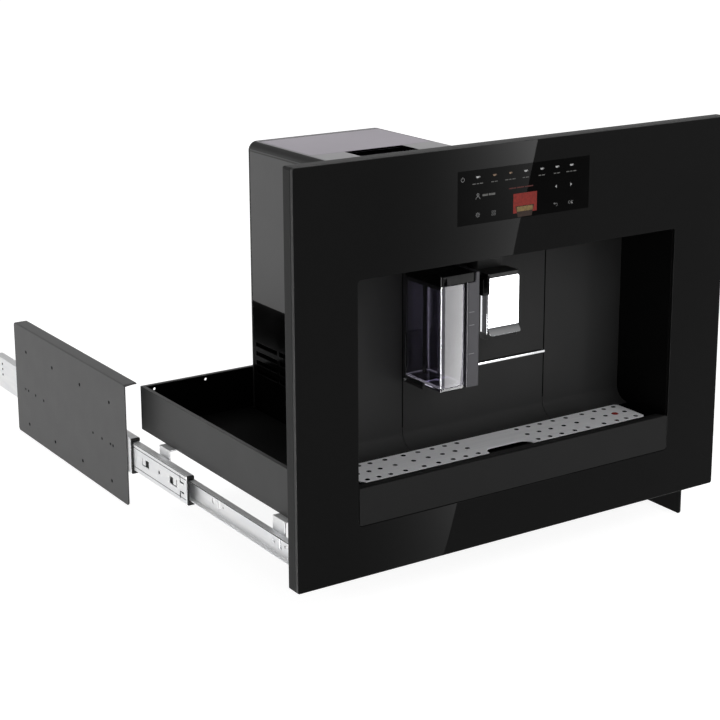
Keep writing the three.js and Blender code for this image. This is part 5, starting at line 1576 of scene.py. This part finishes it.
floor_mesh = bpy.data.meshes.new("floor")
half = FLOOR_SIZE / 2
floor_level = cad_box[0].z - 0.0005
corners = [(-half, -half), (half, -half), (half, half), (-half, half)]
floor_mesh.from_pydata([(x, y, floor_level) for x, y in corners], [], [(0, 1, 2, 3)])
floor_mesh.materials.append(floor_material)
floor = link(bpy.data.objects.new("floor", floor_mesh))
floor.visible_glossy = False
floor.visible_transmission = False
print("floor at", round(floor_level, 4))

# %% [markdown]
# ## Lamps
# Three large soft lamps stand above, on the left and in front. Their size gives the soft falloff of a
# photographer's softbox. Gloss doesn't see them: what it mirrors is set by the world and the cards below.

# %% Lamps


def softbox(name, location, target, width, height, watts):
    """A large soft lamp that looks at a point."""
    lamp = bpy.data.lights.new(name, "AREA")
    lamp.shape = "RECTANGLE"
    lamp.size = width
    lamp.size_y = height
    lamp.energy = watts
    obj = link(bpy.data.objects.new(name, lamp))
    obj.location = location
    obj.rotation_euler = (Vector(target) - Vector(location)).to_track_quat("-Z", "Y").to_euler()
    obj.visible_glossy = False


CENTRE = (0, 0.25, 0.15)
softbox("lamp_above", (0.3, 0.6, 2.4), CENTRE, 2.0, 1.6, 28)
softbox("lamp_left", (-2.3, 0.75, 1.0), CENTRE, 1.4, 1.4, 13)
softbox("lamp_front", (0.5, -1.75, 1.35), (-0.05, 0.05, 0.15), 1.5, 1.3, 24)
print("lamps: 3")

# %% [markdown]
# ## Cards that only reflections see
# Gloss shows what stands round it. A photographer puts white cards there; here they add light to whatever
# is mirrored behind them, and the camera doesn't see them. Lamps could draw the same lines, but a lamp
# that the glass mirrors would light the rest as well.

# %% Card helpers
MIRROR_EYE = Vector((EYE.x, 2 * PANEL_FRONT - EYE.y, EYE.z))


def seen_in_panel(x_mm, z_mm, card_y):
    """Where a card's point stands so that the panel mirrors it at a given place."""
    spot = place(x_mm, 0, z_mm)
    run = (card_y - MIRROR_EYE.y) / (spot.y - MIRROR_EYE.y)
    return MIRROR_EYE + (spot - MIRROR_EYE) * run


def glowing(name, fade):
    """Light on top of what lies behind: it grows across the card by a power, at each row's strength."""
    material, tree = blank(name)
    where = add(tree, "ShaderNodeTexCoord")
    split = add(tree, "ShaderNodeSeparateXYZ", links={0: where.outputs["UV"]})
    rise = add(tree, "ShaderNodeMath", {"operation": "POWER", 1: fade}, {0: split.outputs["X"]})
    power = add(
        tree, "ShaderNodeMath", {"operation": "MULTIPLY"}, {0: rise.outputs[0], 1: split.outputs["Y"]}
    )
    glow = add(tree, "ShaderNodeEmission", {"Color": (1, 1, 1, 1)}, {"Strength": power.outputs[0]})
    clear_card = add(tree, "ShaderNodeBsdfTransparent")
    both = add(tree, "ShaderNodeAddShader", links={0: glow.outputs[0], 1: clear_card.outputs[0]})
    add(tree, "ShaderNodeOutputMaterial", links={"Surface": both.outputs[0]})
    return material


def card(name, rows, strengths, material):
    """A card that only reflections see: rows of a left and a right point, each with its strength."""
    points = [tuple(point) for row in rows for point in row]
    faces = [(2 * i, 2 * i + 1, 2 * i + 3, 2 * i + 2) for i in range(len(rows) - 1)]
    mesh = bpy.data.meshes.new(name)
    mesh.from_pydata(points, [], faces)
    layer = mesh.uv_layers.new(name="across")
    for loop, uv in zip(mesh.loops, layer.data):
        uv.uv = (loop.vertex_index % 2, strengths[loop.vertex_index // 2])
    mesh.materials.append(material)
    obj = link(bpy.data.objects.new(name, mesh))
    obj.visible_camera = False
    obj.visible_diffuse = False
    obj.visible_transmission = False
    obj.visible_volume_scatter = False
    obj.visible_shadow = False


print("card helpers ready")

# %% [markdown]
# ## Placing the cards
# The first two cards are worked out backwards: from where an edge shows on the panel, through the eye's
# mirror image, to where the card stands. To push them about by hand would take a render for each try. The
# first draws the slanted line, the second lights the spout's chrome, the third the jug's corner, and the
# last stands by the back wall, where only the spout's left trim sees it.

# %% Cards
EVEN = 0.01  # a power this low leaves a card's light even
SLANT = (  # along, up, and how strong
    (-114.5, -15, 2.0),
    (-110, 0, 2.2),
    (-103.5, 20.3, 2.8),
    (-92.5, 62.8, 4.6),
    (-18.4, 326.5, 5.4),
    (-9.0, 365, 5.8),
    (12.3, 452.5, 14),
    (14.8, 465, 14),
)
FACE_Y, BAY_Y = -1.6, -1.7

face_rows = []
for x, z, _ in SLANT:
    width = 150 + 58 * z / HEIGHT
    face_rows.append((seen_in_panel(x - width, z, FACE_Y), seen_in_panel(x, z, FACE_Y)))
card("card_face", face_rows, [row[2] for row in SLANT], glowing("card_face", 2.6))

bay_rows = [(seen_in_panel(-150, z, BAY_Y), seen_in_panel(45, z, BAY_Y)) for z in (175, 320)]
card("card_bay", bay_rows, (2.9, 2.9), glowing("card_bay", EVEN))

corner_rows = [(Vector((-1.35, -0.6, z)), Vector((-1.0, -1.0, z))) for z in (-0.6, 0.1)]
card("card_corner", corner_rows, (20.0, 20.0), glowing("card_corner", EVEN))

trim_low, trim_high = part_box("spout_left_trim")
behind = column_low.y - 2 * MM
trim_rows = [
    (Vector((trim_low.x - 70 * MM, behind, z)), Vector((trim_low.x - 1 * MM, behind, z)))
    for z in (trim_low.z - 40 * MM, trim_high.z + 10 * MM)
]
card("card_trim", trim_rows, (1.2, 1.2), glowing("card_trim", EVEN))
print("cards: 4")

# %% [markdown]
# ## Sizes and finish
# The imported model's box is measured before dressing, and the last line prints its size.

# %% Sizes and finish
print("cad", [round(v, 4) for v in cad_box[1] - cad_box[0]])
